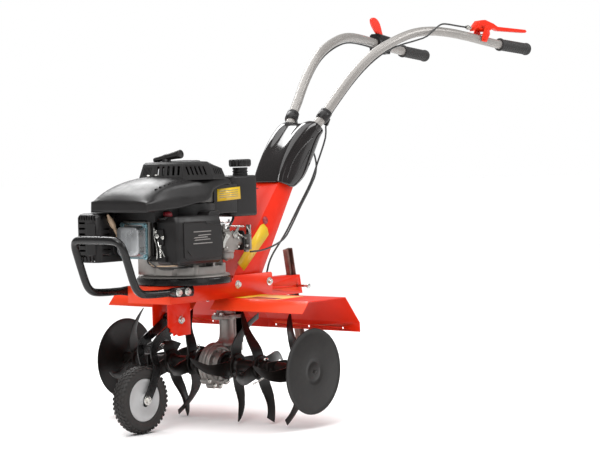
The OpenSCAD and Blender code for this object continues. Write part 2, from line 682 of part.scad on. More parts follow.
// ---------------------------------------------------------------- depth stake
module depth_stake() color(steel) place() translate([-344.4, 0, 348])
  rotate([0, stake_lean, 0]) difference() {
    union() {
      translate([0, 0, -290]) linear_extrude(400) difference() {
        translate([-13, -8]) square([26, 16]);
        translate([-10, -5]) square([20, 20]);
      }
    }
    translate([0, 0, -110]) block([-4.5, -20, 0], [4.5, 0, 170]);
    translate([-30, -20, -292]) rotate([0, 0, 0]) block([0, 0, 0], [18, 40, 12]);
  }
module hitch_pin() color(steel) place() translate([-344.4, 0, 348]) {
  along_y(-30, 58, 3.5);
  along_y(56, 61, 7);
}

main_frame();
column();
wheel_bracket();
fender_left();
fender_right();
frame_bolts();
bumper_bar();
column_cover();
handle_tube_left();
handle_tube_right();
grip_left();
grip_right();
cable_clips();
throttle_housing();
throttle_lever();
clutch_bracket();
clutch_lever();
clutch_cable();
throttle_cable();
engine_base();
crankcase();
cylinder_fins();
rocker_cover();
engine_bolts();
muffler();
muffler_guard();
air_box();
carburettor();
throttle_arm();
spark_plug();
blower_cover();
starter_grip();
fuel_tank();
fuel_cap();
crankshaft();
drive_pulley();
drive_belt();
driven_pulley();
worm_shaft();
tension_arm();
idler_pulley();
gearbox_leg();
gearbox_left();
gearbox_right();
gearbox_bolts();
output_shaft();
worm_wheel();
tines_left_inner();
tines_left_outer();
tines_right_inner();
tines_right_outer();
disc_left();
disc_right();
tine_pins();
wheel_fork();
tyre();
wheel_hub();
wheel_axle();
depth_stake();
hitch_pin();
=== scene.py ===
import json
import math

import bmesh
import bpy
from mathutils import Matrix, Vector


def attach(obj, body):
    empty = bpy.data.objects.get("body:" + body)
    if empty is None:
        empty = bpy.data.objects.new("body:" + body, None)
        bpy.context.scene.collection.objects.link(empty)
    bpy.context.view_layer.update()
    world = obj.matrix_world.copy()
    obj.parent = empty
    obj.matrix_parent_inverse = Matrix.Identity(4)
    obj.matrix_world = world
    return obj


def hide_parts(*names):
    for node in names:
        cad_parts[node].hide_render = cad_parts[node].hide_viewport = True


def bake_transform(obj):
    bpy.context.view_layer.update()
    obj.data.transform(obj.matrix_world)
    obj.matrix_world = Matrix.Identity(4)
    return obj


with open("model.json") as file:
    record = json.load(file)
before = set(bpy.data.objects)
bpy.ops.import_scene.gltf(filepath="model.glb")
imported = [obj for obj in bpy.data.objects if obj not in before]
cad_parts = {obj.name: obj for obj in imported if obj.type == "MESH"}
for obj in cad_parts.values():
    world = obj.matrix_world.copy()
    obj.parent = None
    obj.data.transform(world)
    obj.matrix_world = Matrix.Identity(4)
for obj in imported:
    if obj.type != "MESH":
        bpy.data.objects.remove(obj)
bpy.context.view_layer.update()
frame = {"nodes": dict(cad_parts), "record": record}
scene = bpy.context.scene
AX = 0.435
D = bpy.data


def P(x, y, z):
    """Millimetres from the ground point under the rotor axle, as metres in the model's frame."""
    return Vector((AX + x / 1000, y / 1000, z / 1000))


# ------------------------------------------------------------------ materials
def new_mat(name):
    m = D.materials.new(name)
    m.use_nodes = True
    nt = m.node_tree
    return m, nt, nt.nodes["Principled BSDF"]


def noise(nt, co, scale, detail=4.0, rough=0.55):
    n = nt.nodes.new("ShaderNodeTexNoise")
    n.inputs["Scale"].default_value = scale
    n.inputs["Detail"].default_value = detail
    n.inputs["Roughness"].default_value = rough
    nt.links.new(co.outputs["Object"], n.inputs["Vector"])
    return n


def ramp(nt, src, stops):
    r = nt.nodes.new("ShaderNodeValToRGB")
    e = r.color_ramp.elements
    while len(e) < len(stops):
        e.new(0.5)
    for k, (p, c) in zip(e, stops):
        k.position = p
        k.color = (*c, 1) if len(c) == 3 else c
    nt.links.new(src, r.inputs["Fac"])
    return r


def remap(nt, src, a, b, lo=0.3, hi=0.7):
    r = nt.nodes.new("ShaderNodeMapRange")
    r.inputs["From Min"].default_value = lo
    r.inputs["From Max"].default_value = hi
    r.inputs["To Min"].default_value = a
    r.inputs["To Max"].default_value = b
    nt.links.new(src, r.inputs["Value"])
    return r


def surface(name, colour, rough=0.4, metal=0.0, vary=0.12, scale=18.0, rough_vary=0.08,
            bump=0.1, bump_scale=400.0, coat=0.0, coat_rough=0.05, spec=0.5, edge=None, dust=None):
    """A procedural finish: mottled colour, uneven gloss, fine bump, worn edges and settled dust."""
    m, nt, b = new_mat(name)
    co = nt.nodes.new("ShaderNodeTexCoord")
    big = noise(nt, co, scale)
    dark = tuple(c * (1 - vary) for c in colour)
    light = tuple(min(1, c * (1 + vary)) for c in colour)
    col = ramp(nt, big.outputs["Fac"], [(0.3, dark), (0.7, light)]).outputs["Color"]
    fine = noise(nt, co, bump_scale, 3.0)
    if edge:
        geo = nt.nodes.new("ShaderNodeNewGeometry")
        e = remap(nt, geo.outputs["Pointiness"], 0.0, 1.0, edge[1], edge[1] + 0.06)
        mx = nt.nodes.new("ShaderNodeMix")
        mx.data_type = "RGBA"
        nt.links.new(e.outputs["Result"], mx.inputs["Factor"])
        nt.links.new(col, mx.inputs["A"])
        mx.inputs["B"].default_value = (*edge[0], 1)
        col = mx.outputs["Result"]
    if dust:
        d = noise(nt, co, scale * 2.3, 6.0, 0.7)
        dm = remap(nt, d.outputs["Fac"], 0.0, dust[1], 0.45, 0.8)
        mx = nt.nodes.new("ShaderNodeMix")
        mx.data_type = "RGBA"
        nt.links.new(dm.outputs["Result"], mx.inputs["Factor"])
        nt.links.new(col, mx.inputs["A"])
        mx.inputs["B"].default_value = (*dust[0], 1)
        col = mx.outputs["Result"]
    nt.links.new(col, b.inputs["Base Color"])
    rr = remap(nt, big.outputs["Fac"], max(0.02, rough - rough_vary), min(1, rough + rough_vary))
    nt.links.new(rr.outputs["Result"], b.inputs["Roughness"])
    b.inputs["Metallic"].default_value = metal
    b.inputs["Specular IOR Level"].default_value = spec
    if coat:
        b.inputs["Coat Weight"].default_value = coat
        b.inputs["Coat Roughness"].default_value = coat_rough
    if bump:
        bp = nt.nodes.new("ShaderNodeBump")
        bp.inputs["Strength"].default_value = bump
        bp.inputs["Distance"].default_value = 0.0004
        nt.links.new(fine.outputs["Fac"], bp.inputs["Height"])
        nt.links.new(bp.outputs["Normal"], b.inputs["Normal"])
    return m


MAT = {
    "red_paint": surface("red_paint", (0.70, 0.017, 0.0), 0.38, vary=0.06, scale=9, bump=0.1, spec=0.22,
                         bump_scale=260, coat=0.1, coat_rough=0.12, edge=((0.85, 0.10, 0.03), 0.56)),
    "black_paint": surface("black_paint", (0.004, 0.0035, 0.0035), 0.26, vary=0.25, scale=30, bump=0.12,
                           spec=0.35,
                           bump_scale=300, coat=0.08, coat_rough=0.1),
    "gloss_black": surface("gloss_black", (0.007, 0.005, 0.005), 0.12, vary=0.2, scale=22, bump=0.1,
                           spec=0.45,
                           bump_scale=90, coat=0.3, coat_rough=0.04, rough_vary=0.04),
    "black_plastic": surface("black_plastic", (0.009, 0.008, 0.008), 0.38, vary=0.18, scale=26, bump=0.25,
                             spec=0.34,
                             bump_scale=900, rough_vary=0.07),
    "red_plastic": surface("red_plastic", (0.80, 0.028, 0.008), 0.36, vary=0.08, scale=40, bump=0.1),
    "handle_silver": surface("handle_silver", (0.28, 0.265, 0.25), 0.36, metal=0.3, vary=0.05, scale=14,
                             bump=0.01, bump_scale=60, rough_vary=0.03),
    "grip_rubber": surface("grip_rubber", (0.014, 0.013, 0.013), 0.62, vary=0.25, scale=60, bump=0.4,
                           bump_scale=700),
    "belt_rubber": surface("belt_rubber", (0.02, 0.02, 0.02), 0.7, vary=0.2, scale=60, bump=0.4),
    "cable_sheath": surface("cable_sheath", (0.012, 0.012, 0.012), 0.38, vary=0.2, scale=60, bump=0.1),
    "zinc": surface("zinc", (0.62, 0.61, 0.58), 0.24, metal=1.0, vary=0.16, scale=70, bump=0.2,
                    bump_scale=600, rough_vary=0.1),
    "bright_steel": surface("bright_steel", (0.42, 0.43, 0.44), 0.30, metal=0.85, vary=0.08, scale=30,
                            bump=0.04, bump_scale=200),
    "dark_steel": surface("dark_steel", (0.09, 0.085, 0.08), 0.40, metal=0.8, vary=0.3, scale=40, bump=0.3),
    "cast_alloy": surface("cast_alloy", (0.27, 0.255, 0.24), 0.46, metal=0.65, vary=0.16, scale=24, bump=0.9,
                          bump_scale=420, rough_vary=0.1),
    "plug_tan": surface("plug_tan", (0.42, 0.30, 0.20), 0.5, vary=0.15, scale=50),
    "bronze": surface("bronze", (0.55, 0.36, 0.14), 0.3, metal=1.0, vary=0.12, scale=50),
    "tine_black": surface("tine_black", (0.006, 0.0045, 0.004), 0.34, vary=0.35, scale=20, bump=0.2,
                          spec=0.26,
                          bump_scale=260, dust=((0.016, 0.013, 0.010), 0.5)),
    "tyre_rubber": surface("tyre_rubber", (0.013, 0.011, 0.010), 0.66, vary=0.3, scale=40, bump=0.5,
                           bump_scale=500, dust=((0.04, 0.034, 0.029), 0.5)),
    "hub_grey": surface("hub_grey", (0.42, 0.42, 0.42), 0.42, vary=0.08, scale=30, bump=0.1),
}

MAT["sticker"] = surface("sticker", (0.72, 0.47, 0.015), 0.35, vary=0.05, scale=40, bump=0.05)
MAT["sticker_pale"] = surface("sticker_pale", (0.86, 0.52, 0.16), 0.4, vary=0.08, scale=40, bump=0.05)
MAT["badge_grey"] = surface("badge_grey", (0.22, 0.21, 0.20), 0.4, vary=0.1, scale=60, bump=0.05)
MAT["hose_red"] = surface("hose_red", (0.30, 0.02, 0.03), 0.4, vary=0.15, scale=60, bump=0.1)
MAT["teal_tint"] = surface("teal_tint", (0.22, 0.36, 0.40), 0.3, metal=0.9, vary=0.2, scale=60, bump=0.2)

SLOT = {s["node"]: s["material_slot"] for s in frame["record"]["subparts"]}


def finish_mesh(o, bevel=0.0006, segs=2, angle=32):
    """Rounds a sheet or casting's edges and shades it smoothly."""
    for p in o.data.polygons:
        p.use_smooth = True
    w = o.modifiers.new("weld", "WELD")
    w.merge_threshold = 0.00001
    if bevel:
        b = o.modifiers.new("bevel", "BEVEL")
        b.width = bevel
        b.segments = segs
        b.limit_method = "ANGLE"
        b.angle_limit = math.radians(angle)
        b.harden_normals = True
        b.use_clamp_overlap = True


for name, o in frame["nodes"].items():
    o.data.materials.clear()
    o.data.materials.append(MAT[SLOT[name]])
    if name.startswith(("clutch_cable", "throttle_cable", "handle_tube", "bumper")):
        finish_mesh(o, 0)
    else:
        finish_mesh(o)

# ------------------------------------------------------------------ mesh tools
def apply_mods(o):
    """Bakes an object's modifiers into its mesh."""
    dg = bpy.context.evaluated_depsgraph_get()
    me = D.meshes.new_from_object(o.evaluated_get(dg))
    o.modifiers.clear()
    o.data = me
    return o


def smooth(pts, n=4, closed=False):
    """A Catmull-Rom curve through pts, n steps a span."""
    p = [Vector(q) for q in pts]
    out = []
    last = len(p) if closed else len(p) - 1
    for i in range(last):
        if closed:
            a, b, c, d = (p[(i + k) % len(p)] for k in (-1, 0, 1, 2))
        else:
            a, b, c, d = (p[max(0, min(len(p) - 1, i + k))] for k in (-1, 0, 1, 2))
        for k in range(n):
            t = k / n
            out.append(0.5 * (2 * b + (c - a) * t + (2 * a - 5 * b + 4 * c - d) * t * t
                              + (3 * b - a - 3 * c + d) * t ** 3))
    if not closed:
        out.append(p[-1])
    return out


def at(p, z=(0, 0, 1), x=(1, 0, 0)):
    """A matrix that puts local z along z, and x as near as it can, with the origin at p."""
    z = Vector(z).normalized()
    x = Vector(x)
    x = x - z * x.dot(z)
    if x.length < 1e-6:
        x = Vector((0, 1, 0)) - z * z.y
    x.normalize()
    y = z.cross(x)
    return Matrix(((x.x, y.x, z.x, p[0]), (x.y, y.y, z.y, p[1]), (x.z, y.z, z.z, p[2]), (0, 0, 0, 1)))


def arc(cx, cy, r, a0, a1, n=6):
    return [(cx + r * math.cos(math.radians(a0 + (a1 - a0) * k / n)),
             cy + r * math.sin(math.radians(a0 + (a1 - a0) * k / n))) for k in range(n + 1)]


def rrect(w, h, r, n=5):
    """Outline of a rounded rectangle centred on the origin."""
    out = []
    for cx, cy, a in ((w / 2 - r, h / 2 - r, 0), (-w / 2 + r, h / 2 - r, 90),
                      (-w / 2 + r, -h / 2 + r, 180), (w / 2 - r, -h / 2 + r, 270)):
        out += arc(cx, cy, r, a, a + 90, n)
    return out


class Build:
    """Collects shapes into one mesh piece, in millimetres from the ground under the rotor axle."""

    def __init__(self):
        self.v, self.f = [], []

    def add(self, verts, faces, m=None):
        n = len(self.v)
        self.v += [(m @ Vector(p)) if m else Vector(p) for p in verts]
        self.f += [tuple(i + n for i in q) for q in faces]
        return self

    def tube(self, pts, r, n=12, closed=False, m=None, squash=1.0):
        """A round bar along pts; r is one radius or one for each point."""
        p = [Vector(q) for q in pts]
        k = len(p)
        rad = r if isinstance(r, (list, tuple)) else [r] * k
        head = []
        for i in range(k):
            a, b = (p[(i - 1) % k], p[(i + 1) % k]) if closed else (p[max(0, i - 1)], p[min(k - 1, i + 1)])
            head.append((b - a).normalized())
        u = Vector((0.03, 0.05, 1))
        verts = []
        for i in range(k):
            u = (u - head[i] * u.dot(head[i])).normalized()
            w = head[i].cross(u)
            for j in range(n):
                t = 2 * math.pi * j / n
                verts.append(p[i] + (u * math.cos(t) + w * math.sin(t) * squash) * rad[i])
        faces = []
        for i in range(k if closed else k - 1):
            q = (i + 1) % k
            for j in range(n):
                s = (j + 1) % n
                faces.append((i * n + j, q * n + j, q * n + s, i * n + s))
        if not closed:
            faces.append(tuple(range(n)))
            faces.append(tuple(reversed(range((k - 1) * n, k * n))))
        return self.add(verts, [tuple(reversed(f)) for f in faces], m)

    def lathe(self, prof, m=None, n=40, loop=False):
        """prof is (radius, height) pairs from the bottom up, turned about local z."""
        verts, rings = [], []
        for rr, z in prof:
            if rr <= 1e-6:
                rings.append([len(verts)] * n)
                verts.append((0, 0, z))
            else:
                rings.append(list(range(len(verts), len(verts) + n)))
                verts += [(rr * math.cos(2 * math.pi * j / n), rr * math.sin(2 * math.pi * j / n), z)
                          for j in range(n)]
        faces = []
        pairs = list(zip(rings, rings[1:])) + ([(rings[-1], rings[0])] if loop else [])
        for a, b in pairs:
            for j in range(n):
                s = (j + 1) % n
                q = []
                for i in (a[j], a[s], b[s], b[j]):
                    if i not in q:
                        q.append(i)
                if len(q) > 2:
                    faces.append(tuple(q))
        if not loop:
            if prof[0][0] > 1e-6:
                faces.append(tuple(reversed(rings[0])))
            if prof[-1][0] > 1e-6:
                faces.append(tuple(rings[-1]))
        return self.add(verts, faces, m)

    def prism(self, poly, z0, z1, m=None):
        """poly, anticlockwise in local xy, from z0 to z1."""
        n = len(poly)
        area2 = sum(poly[i][0] * poly[(i + 1) % n][1] - poly[(i + 1) % n][0] * poly[i][1] for i in range(n))
        if area2 < 0:
            poly = list(reversed(poly))
        verts = [(x, y, z0) for x, y in poly] + [(x, y, z1) for x, y in poly]
        faces = [tuple(reversed(range(n))), tuple(range(n, 2 * n))]
        faces += [(i, (i + 1) % n, n + (i + 1) % n, n + i) for i in range(n)]
        return self.add(verts, faces, m)

    def box(self, a, b, m=None):
        return self.prism([(a[0], a[1]), (b[0], a[1]), (b[0], b[1]), (a[0], b[1])], a[2], b[2], m)

    def bolt(self, p, z, r=5.0, washer=True):
        """A hex flange bolt's head, with its washer, standing on p along z."""
        m = at(p, z, (0.3, 0.2, 1))
        if washer:
            self.lathe([(0, -0.2), (r * 1.75, -0.2), (r * 1.75, 1.1), (r * 1.45, 1.7), (0, 1.7)], m, 28)
        self.prism([(r * 1.12 * math.cos(k * math.pi / 3), r * 1.12 * math.sin(k * math.pi / 3))
                    for k in range(6)],
                   1.5, 1.5 + r * 0.95, m)
        self.lathe([(0, 1.5 + r * 0.9), (r * 0.72, 1.5 + r * 0.9), (r * 0.62, 1.5 + r * 1.08),
                    (0, 1.5 + r * 1.08)],
                   m, 20)
        return self

    def screw(self, p, z, r=3.0):
        m = at(p, z)
        self.lathe([(0, -0.2), (r, -0.2), (r, r * 0.35), (r * 0.8, r * 0.6), (r * 0.45, r * 0.7),
                    (r * 0.42, r * 0.3), (0, r * 0.3)], m, 24)
        return self

    def make(self, name, mat, body="chassis", nodes=(), bevel=0.5, segs=2, angle=30, sub=0, solid=0.0,
             crease=None):
        me = D.meshes.new(name)
        me.from_pydata([P(*q) for q in self.v], [], self.f)
        me.validate()
        me.update()
        o = D.objects.new(name, me)
        scene.collection.objects.link(o)
        me.materials.append(MAT[mat] if isinstance(mat, str) else mat)
        for q in me.polygons:
            q.use_smooth = True
        if crease:
            at_ = me.attributes.new("crease_edge", "FLOAT", "EDGE")
            for i, ed in enumerate(me.edges):
                at_.data[i].value = crease(*(self.v[k] for k in ed.vertices))
        if sub:
            s = o.modifiers.new("sub", "SUBSURF")
            s.levels = s.render_levels = sub
        if solid:
            s = o.modifiers.new("solid", "SOLIDIFY")
            s.thickness = solid / 1000
            s.offset = -1
        if bevel:
            b = o.modifiers.new("bevel", "BEVEL")
            b.width = bevel / 1000
            b.segments = segs
            b.limit_method = "ANGLE"
            b.angle_limit = math.radians(angle)
            b.harden_normals = True
        if body:
            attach(o, body)
        if nodes:
            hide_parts(*nodes)
        return o


def cut(o, cutter):
    """Takes a Build's shapes away from o."""
    me = D.meshes.new("cutter")
    me.from_pydata([P(*q) for q in cutter.v], [], cutter.f)
    c = D.objects.new("cutter", me)
    scene.collection.objects.link(c)
    late = [(m.type, m.name) for m in o.modifiers if m.type == "BEVEL"]
    b = o.modifiers.new("cut", "BOOLEAN")
    b.operation = "DIFFERENCE"
    b.solver = "EXACT"
    b.use_self = True
    b.object = c
    if late:
        bpy.context.view_layer.objects.active = o
        o.modifiers.move(len(o.modifiers) - 1, [m.name for m in o.modifiers].index(late[0][1]))
    keep = [(m.width, m.segments, m.angle_limit) for m in o.modifiers if m.type == "BEVEL"]
    for m in [m for m in o.modifiers if m.type == "BEVEL"]:
        o.modifiers.remove(m)
    apply_mods(o)
    D.objects.remove(c)
    for w, s, a_ in keep:
        m = o.modifiers.new("bevel", "BEVEL")
        m.width, m.segments, m.angle_limit = w, s, a_
        m.limit_method = "ANGLE"
        m.harden_normals = True
    return o


# ------------------------------------------------------------------ rotor


TIP_IN = math.sqrt(153 ** 2 - 37 ** 2)


def blade(b, y, phase, bend, side, blunt=False):
    """One sickle tine: a flat bar bent sideways and forged to a point, on the star at y."""
    convex = [(8, -20), (40, -21.5), (66, -20.5), (84, -17), (108, -8), (128, 8), (140, 22), (TIP_IN - 1, 36)]
    hollow = [(8, 20), (30, 18), (48, 15.5), (66, 14), (95, 13), (114, 19.5), (133, 30), (TIP_IN - 1.6, 37.6)]
    if blunt:
        convex = [(8, -20), (40, -22.5), (66, -22), (86, -18.5), (108, -9), (126, 4), (138, 15), (147, 24)]
        hollow = [(8, 20), (30, 18), (48, 16.5), (66, 15), (92, 16), (108, 22), (120, 31), (128, 41)]
    oc = smooth([(x, v_, 0) for x, v_ in convex], 3)
    ic = smooth([(x, v_, 0) for x, v_ in hollow], 3)
    n = len(oc)
    rot = math.radians(phase) - math.atan2(37, TIP_IN)
    c_, s_ = math.cos(rot), math.sin(rot)

    def place(x, w, off):
        q = max(0.0, (x - 46) / (TIP_IN - 46))
        lz = bend * q ** 1.4 + off
        return (x * c_ - w * s_, side * (y - lz), 153 + x * s_ + w * c_)

    verts, faces = [], []
    for i in range(n):
        t = i / (n - 1)
        h = 2.5 - 1.0 * t ** 2
        o_, j_ = oc[i], ic[i]
        edge = 0.55 if t > 0.45 else 1.0
        m_ = [(o_, -h * edge), (o_, h * edge), (o_.lerp(j_, 0.12), h), (o_.lerp(j_, 0.88), h),
              (j_, h * edge), (j_, -h * edge), (o_.lerp(j_, 0.88), -h), (o_.lerp(j_, 0.12), -h)]
        verts += [place(p_.x, p_.y, z_) for p_, z_ in m_]
    for i in range(n - 1):
        for k in range(8):
            q = (i * 8 + k, i * 8 + (k + 1) % 8, (i + 1) * 8 + (k + 1) % 8, (i + 1) * 8 + k)
            faces.append(q if side > 0 else tuple(reversed(q)))
    faces.append(tuple(reversed(range(8))) if side > 0 else tuple(range(8)))
    faces.append(tuple(range((n - 1) * 8, n * 8)) if side > 0 else tuple(reversed(range((n - 1) * 8, n * 8))))
    b.add(verts, faces)


def star(b, y, phase, bends, blunt, side):
    """Four tines on a hub: each one's sideways bend, and which of them end square."""
    for k in range(4):
        blade(b, y, phase + 90 * k, bends[k], side, blunt=k in blunt)
    m = at((0, side * y, 153), (0, side, 0), (1, 0, 0))
    b.lathe([(17, -6), (33, -6), (35, -4.5), (35, 4.5), (33, 6), (17, 6)], m, 36, loop=True)
    b.lathe([(17, 5), (24, 5), (20.5, 9), (18, 12), (17, 12)], m, 32, loop=True)
    b.lathe([(17, -5), (24, -5), (20.5, -9), (18, -12), (17, -12)], m, 32, loop=True)
    for k in range(4):
        a_ = math.radians(phase + 45 + 90 * k)
        p = (26.5 * math.cos(a_), side * (y + 6), 153 + 26.5 * math.sin(a_))
        b.bolt(p, (0, side, 0), 3.6, washer=False)


def sleeve(b, y0, y1, side, r=18, bore=12.6):
    m = at((0, 0, 153), (0, side, 0), (1, 0, 0))
    b.lathe([(bore, y0), (r - 1, y0), (r, y0 + 1), (r, y1 - 1), (r - 1, y1), (bore, y1)], m, 36, loop=True)


for side, tag, ph, inner, middle in (
        (1, "left", (-77, -90, -80), ((-29, 40, -64, -46), (2, 3)), ((-34, -40, 62, 48), (0, 1))),
        (-1, "right", (-83, -90, -98), ((-60, 40, -18, -46), (0, 3)), ((55, -40, -46, 48), (1, 2)))):
    b = Build()
    sleeve(b, 40, 192, side)
    b.lathe([(17, 39.5), (37, 39.5), (39, 41), (39, 47), (36.5, 48.5), (33, 48.5), (32, 45), (27, 45),
             (26, 50),
             (24, 60), (17, 62)], at((0, 0, 153), (0, side, 0), (1, 0, 0)), 44, loop=True)
    for yc in (60, 182):
        m = at((0, side * yc, 153), (0, side, 0), (1, 0, 0))
        b.lathe([(17, -8), (20.5, -8), (21.5, -7), (21.5, 7), (20.5, 8), (17, 8)], m, 36, loop=True)
    star(b, 80, ph[0], *inner, side)
    star(b, 165, ph[1], *middle, side)
    b.make(f"tine_set_{tag}_inner", "tine_black", "rotor", [f"tines_{tag}_inner"], bevel=0.5)
    b = Build()
    sleeve(b, 193, 343, side)
    m = at((0, 0, 153), (0, side, 0), (1, 0, 0))
    b.lathe([(0, 152.5), (11.5, 152.5), (12.4, 154), (12.4, 194), (0, 194)], m, 28)
    star(b, 295, ph[2], (30, 30, 44, 30), (0, 3), side)
    plate = rrect(84, 42, 5)
    b.prism(plate, -2.5, 2.5, at((0, side * 222, 153), (0, side, 0), (1, 0, 0)))
    b.prism(rrect(70, 30, 4), -7.5, -2.5, at((0, side * 222, 153), (0, side, 0), (1, 0, 0)))
    for s in (-1, 1):
        b.bolt((s * 30, side * 224.5, 153), (0, side, 0), 3.4)
    b.make(f"tine_set_{tag}_outer", "tine_black", "rotor", [f"tines_{tag}_outer"], bevel=0.5)

    m = at((0, 0, 153), (0, side, 0), (1, 0, 0))
    b = Build()
    b.lathe([(0, 346.5), (28, 346.5), (34, 347.6), (60, 348.6), (100, 347.2), (110, 346.2), (113.4, 346.6),
             (115, 348.3), (114.2, 349.9), (112.2, 350.2), (109, 349.4), (100, 350.2), (62, 351.9),
             (40, 352.2),
             (32, 351.6), (27, 350.4), (24, 350.8), (20, 352.0), (8, 352.4), (0, 352.4)], m, 96)
    b.lathe([(0, 336), (5, 336), (5, 347), (0, 347)], m, 20)
    b.lathe([(0, 352.2), (5.4, 352.2), (5.4, 353.4), (4.4, 354.6), (2, 355.2), (0, 355.3)], m, 24)
    b.make(f"guard_disc_{tag}", "tine_black", "rotor", [f"disc_{tag}"], bevel=0.4, angle=40)


def wire_clip(b, p, d, up, size=1.0):
    """A spring clip: a straight leg through the pin and a waved leg back beside it, with an eye."""
    d, up = Vector(d).normalized(), Vector(up).normalized()
    up = (up - d * up.dot(d)).normalized()
    p = Vector(p)
    pts = [p - d * 16 * size]
    pts += [p + d * 30 * size]
    pts += [p + d * (37 * size) + up * (1.2 * size)]
    pts += [p + d * (43 * size) + up * (5.5 * size), p + d * (40 * size) + up * (10.5 * size),
            p + d * (33 * size) + up * (10 * size), p + d * (31 * size) + up * (5.5 * size)]
    pts += [p + d * (24 * size) + up * (3.2 * size), p + d * (14 * size) + up * (8.4 * size),
            p + d * (3 * size) + up * (5.2 * size), p - d * (8 * size) + up * (10.6 * size),
            p - d * (18 * size) + up * (14 * size)]
    b.tube(smooth(pts, 5), 1.15 * size, 10)


b = Build()
for side in (1, -1):
    for yc in (60, 182):
        m = at((0, side * yc, 153), (0, 0, 1), (1, 0, 0))
        b.lathe([(0, -27), (3.4, -27), (4, -26.2), (4, 22), (7.4, 22), (7.4, 25.6), (6.4, 27), (0, 27)], m,
                28)
wire_clip(b, (5, 60, 127), (1.0, 0.35, -0.62), (0.2, 0.9, 0.3), 1.0)
wire_clip(b, (5, 182, 127), (0.2, -0.8, -0.5), (1, 0, 0.2), 0.9)
wire_clip(b, (8, -182, 183), (0.9, 0.3, 0.5), (0, 0.9, 0.4), 1.1)
wire_clip(b, (5, -60, 178), (0.3, 0.5, 0.9), (1, 0, 0.1), 0.9)
b.make("hitch_clips", "zinc", "rotor", ["tine_pins"], bevel=0.2)

# ------------------------------------------------------------------ front wheel
b = Build()
mw = at((300, 0, 90), (0, 1, 0), (1, 0, 0))
b.lathe([(57, -12), (58, -17.5), (61, -18.4), (63.5, -17.6), (66, -18.6), (72, -19.8), (77, -19.2),
         (82, -16.5),
         (85.4, -12), (87.2, -6), (87.6, 0), (87.2, 6), (85.4, 12), (82, 16.5), (77, 19.2), (72, 19.8),
         (66, 18.6),
         (63.5, 17.6), (61, 18.4), (58, 17.5), (57, 12)], mw, 108, loop=True)


def lug(b, ang, y, w, l, h, skew):
    """One tread block standing out of the tyre at ang and y."""
    r0 = 87.6 - (y / 20.0) ** 2 * 6.0 - 0.8
    tilt = math.radians(-abs(y) * 1.5) * (1 if y > 0 else -1)
    a_ = math.radians(ang)
    n_ = Vector((math.cos(a_) * math.cos(tilt), -math.sin(tilt), math.sin(a_) * math.cos(tilt)))
    t_ = Vector((-math.sin(a_), 0, math.cos(a_)))
    t_ = (t_ * math.cos(skew) + Vector((0, 1, 0)) * math.sin(skew)).normalized()
    p = (300 + math.cos(a_) * r0, y, 90 + math.sin(a_) * r0)
    poly = [(-l / 2, -w * 0.28), (-l * 0.25, -w / 2), (l * 0.25, -w / 2), (l / 2, -w * 0.28),
            (l / 2, w * 0.28),
            (l * 0.25, w / 2), (-l * 0.25, w / 2), (-l / 2, w * 0.28)]
    b.prism(poly, 0, h, at(p, n_, t_))


for k in range(40):
    for y_, dy, w, l, h, sk in ((-16.8, 0.5, 6.0, 8.0, 2.7, 0.5), (-8.6, 0.0, 7.4, 9.0, 2.9, -0.5),
                                (0, 0.5, 7.4, 9.0, 2.9, 0.5), (8.6, 0.0, 7.4, 9.0, 2.9, -0.5),
                                (16.8, 0.5, 6.0, 8.0, 2.7, 0.5)):
        lug(b, (k + dy) * 9 + 3, y_, w, l, h, sk)
b.make("tyre_tread", "tyre_rubber", "wheel", ["tyre"], bevel=0.5, segs=1, angle=38)

b = Build()
for s in (1, -1):
    m = at((300, 0, 90), (0, s, 0), (1, 0, 0))
    b.lathe([(5.06, -0.5), (5.06, 20.5), (12.5, 20.5), (14, 19.6), (15.5, 14), (20, 12.3), (33, 11.4),
             (46, 12.6),
             (50, 14.8), (53, 15.4), (56.8, 15.0), (56.8, -0.5)], m, 72, loop=True)
b.make("wheel_disc", "hub_grey", "wheel", ["wheel_hub"], bevel=0.5, angle=40)

b = Build()
mf = at((300, 0, 90), (0, 1, 0), (1, 0, 0))
b.lathe([(0, -33), (4.6, -33), (5, -32), (5, 32), (4.6, 33), (0, 33)], mf, 24)
for s in (1, -1):
    b.bolt((300, s * 25.8, 90), (0, s, 0), 7.4)
b.make("wheel_bolt", "zinc", "wheel_arm", ["wheel_axle"], bevel=0.3)


def strap_bar(b, s):
    """One leg of the fork: a flat bar that is bowed forward and joggled outwards over the wheel."""
    mid = smooth([(166, 292), (190, 277), (216, 263), (242, 250), (261, 236), (270, 218), (267, 197),
                  (260, 178),
                  (263, 157), (277, 125), (298, 91), (309, 74)], 4)
    verts = []
    n = len(mid)
    for i, c in enumerate(mid):
        a_ = mid[max(0, i - 1)]
        z_ = mid[min(n - 1, i + 1)]
        d = (z_ - a_).normalized()
        nn = Vector((-d.y, d.x, 0))
        t = i / (n - 1)
        w = 13.0 if t < 0.45 else 12.0 if t < 0.62 else 14.0
        if t > 0.91:
            w = 14.0 - 11.5 * (t - 0.91) / 0.09
        y0 = 21.6 * s
        y1 = 25.8 * s
        for (q, y_) in ((-w, y0), (w, y0), (w, y1), (-w, y1)):
            verts.append((c.x + nn.x * q, y_, c.y + nn.y * q))
    faces = []
    for i in range(n - 1):
        for k in range(4):
            q = (i * 4 + k, (i + 1) * 4 + k, (i + 1) * 4 + (k + 1) % 4, i * 4 + (k + 1) % 4)
            faces.append(q if s > 0 else tuple(reversed(q)))
    faces.append((0, 1, 2, 3) if s > 0 else (3, 2, 1, 0))
    m_ = (n - 1) * 4
    faces.append((m_ + 3, m_ + 2, m_ + 1, m_) if s > 0 else (m_, m_ + 1, m_ + 2, m_ + 3))
    b.add(verts, faces)


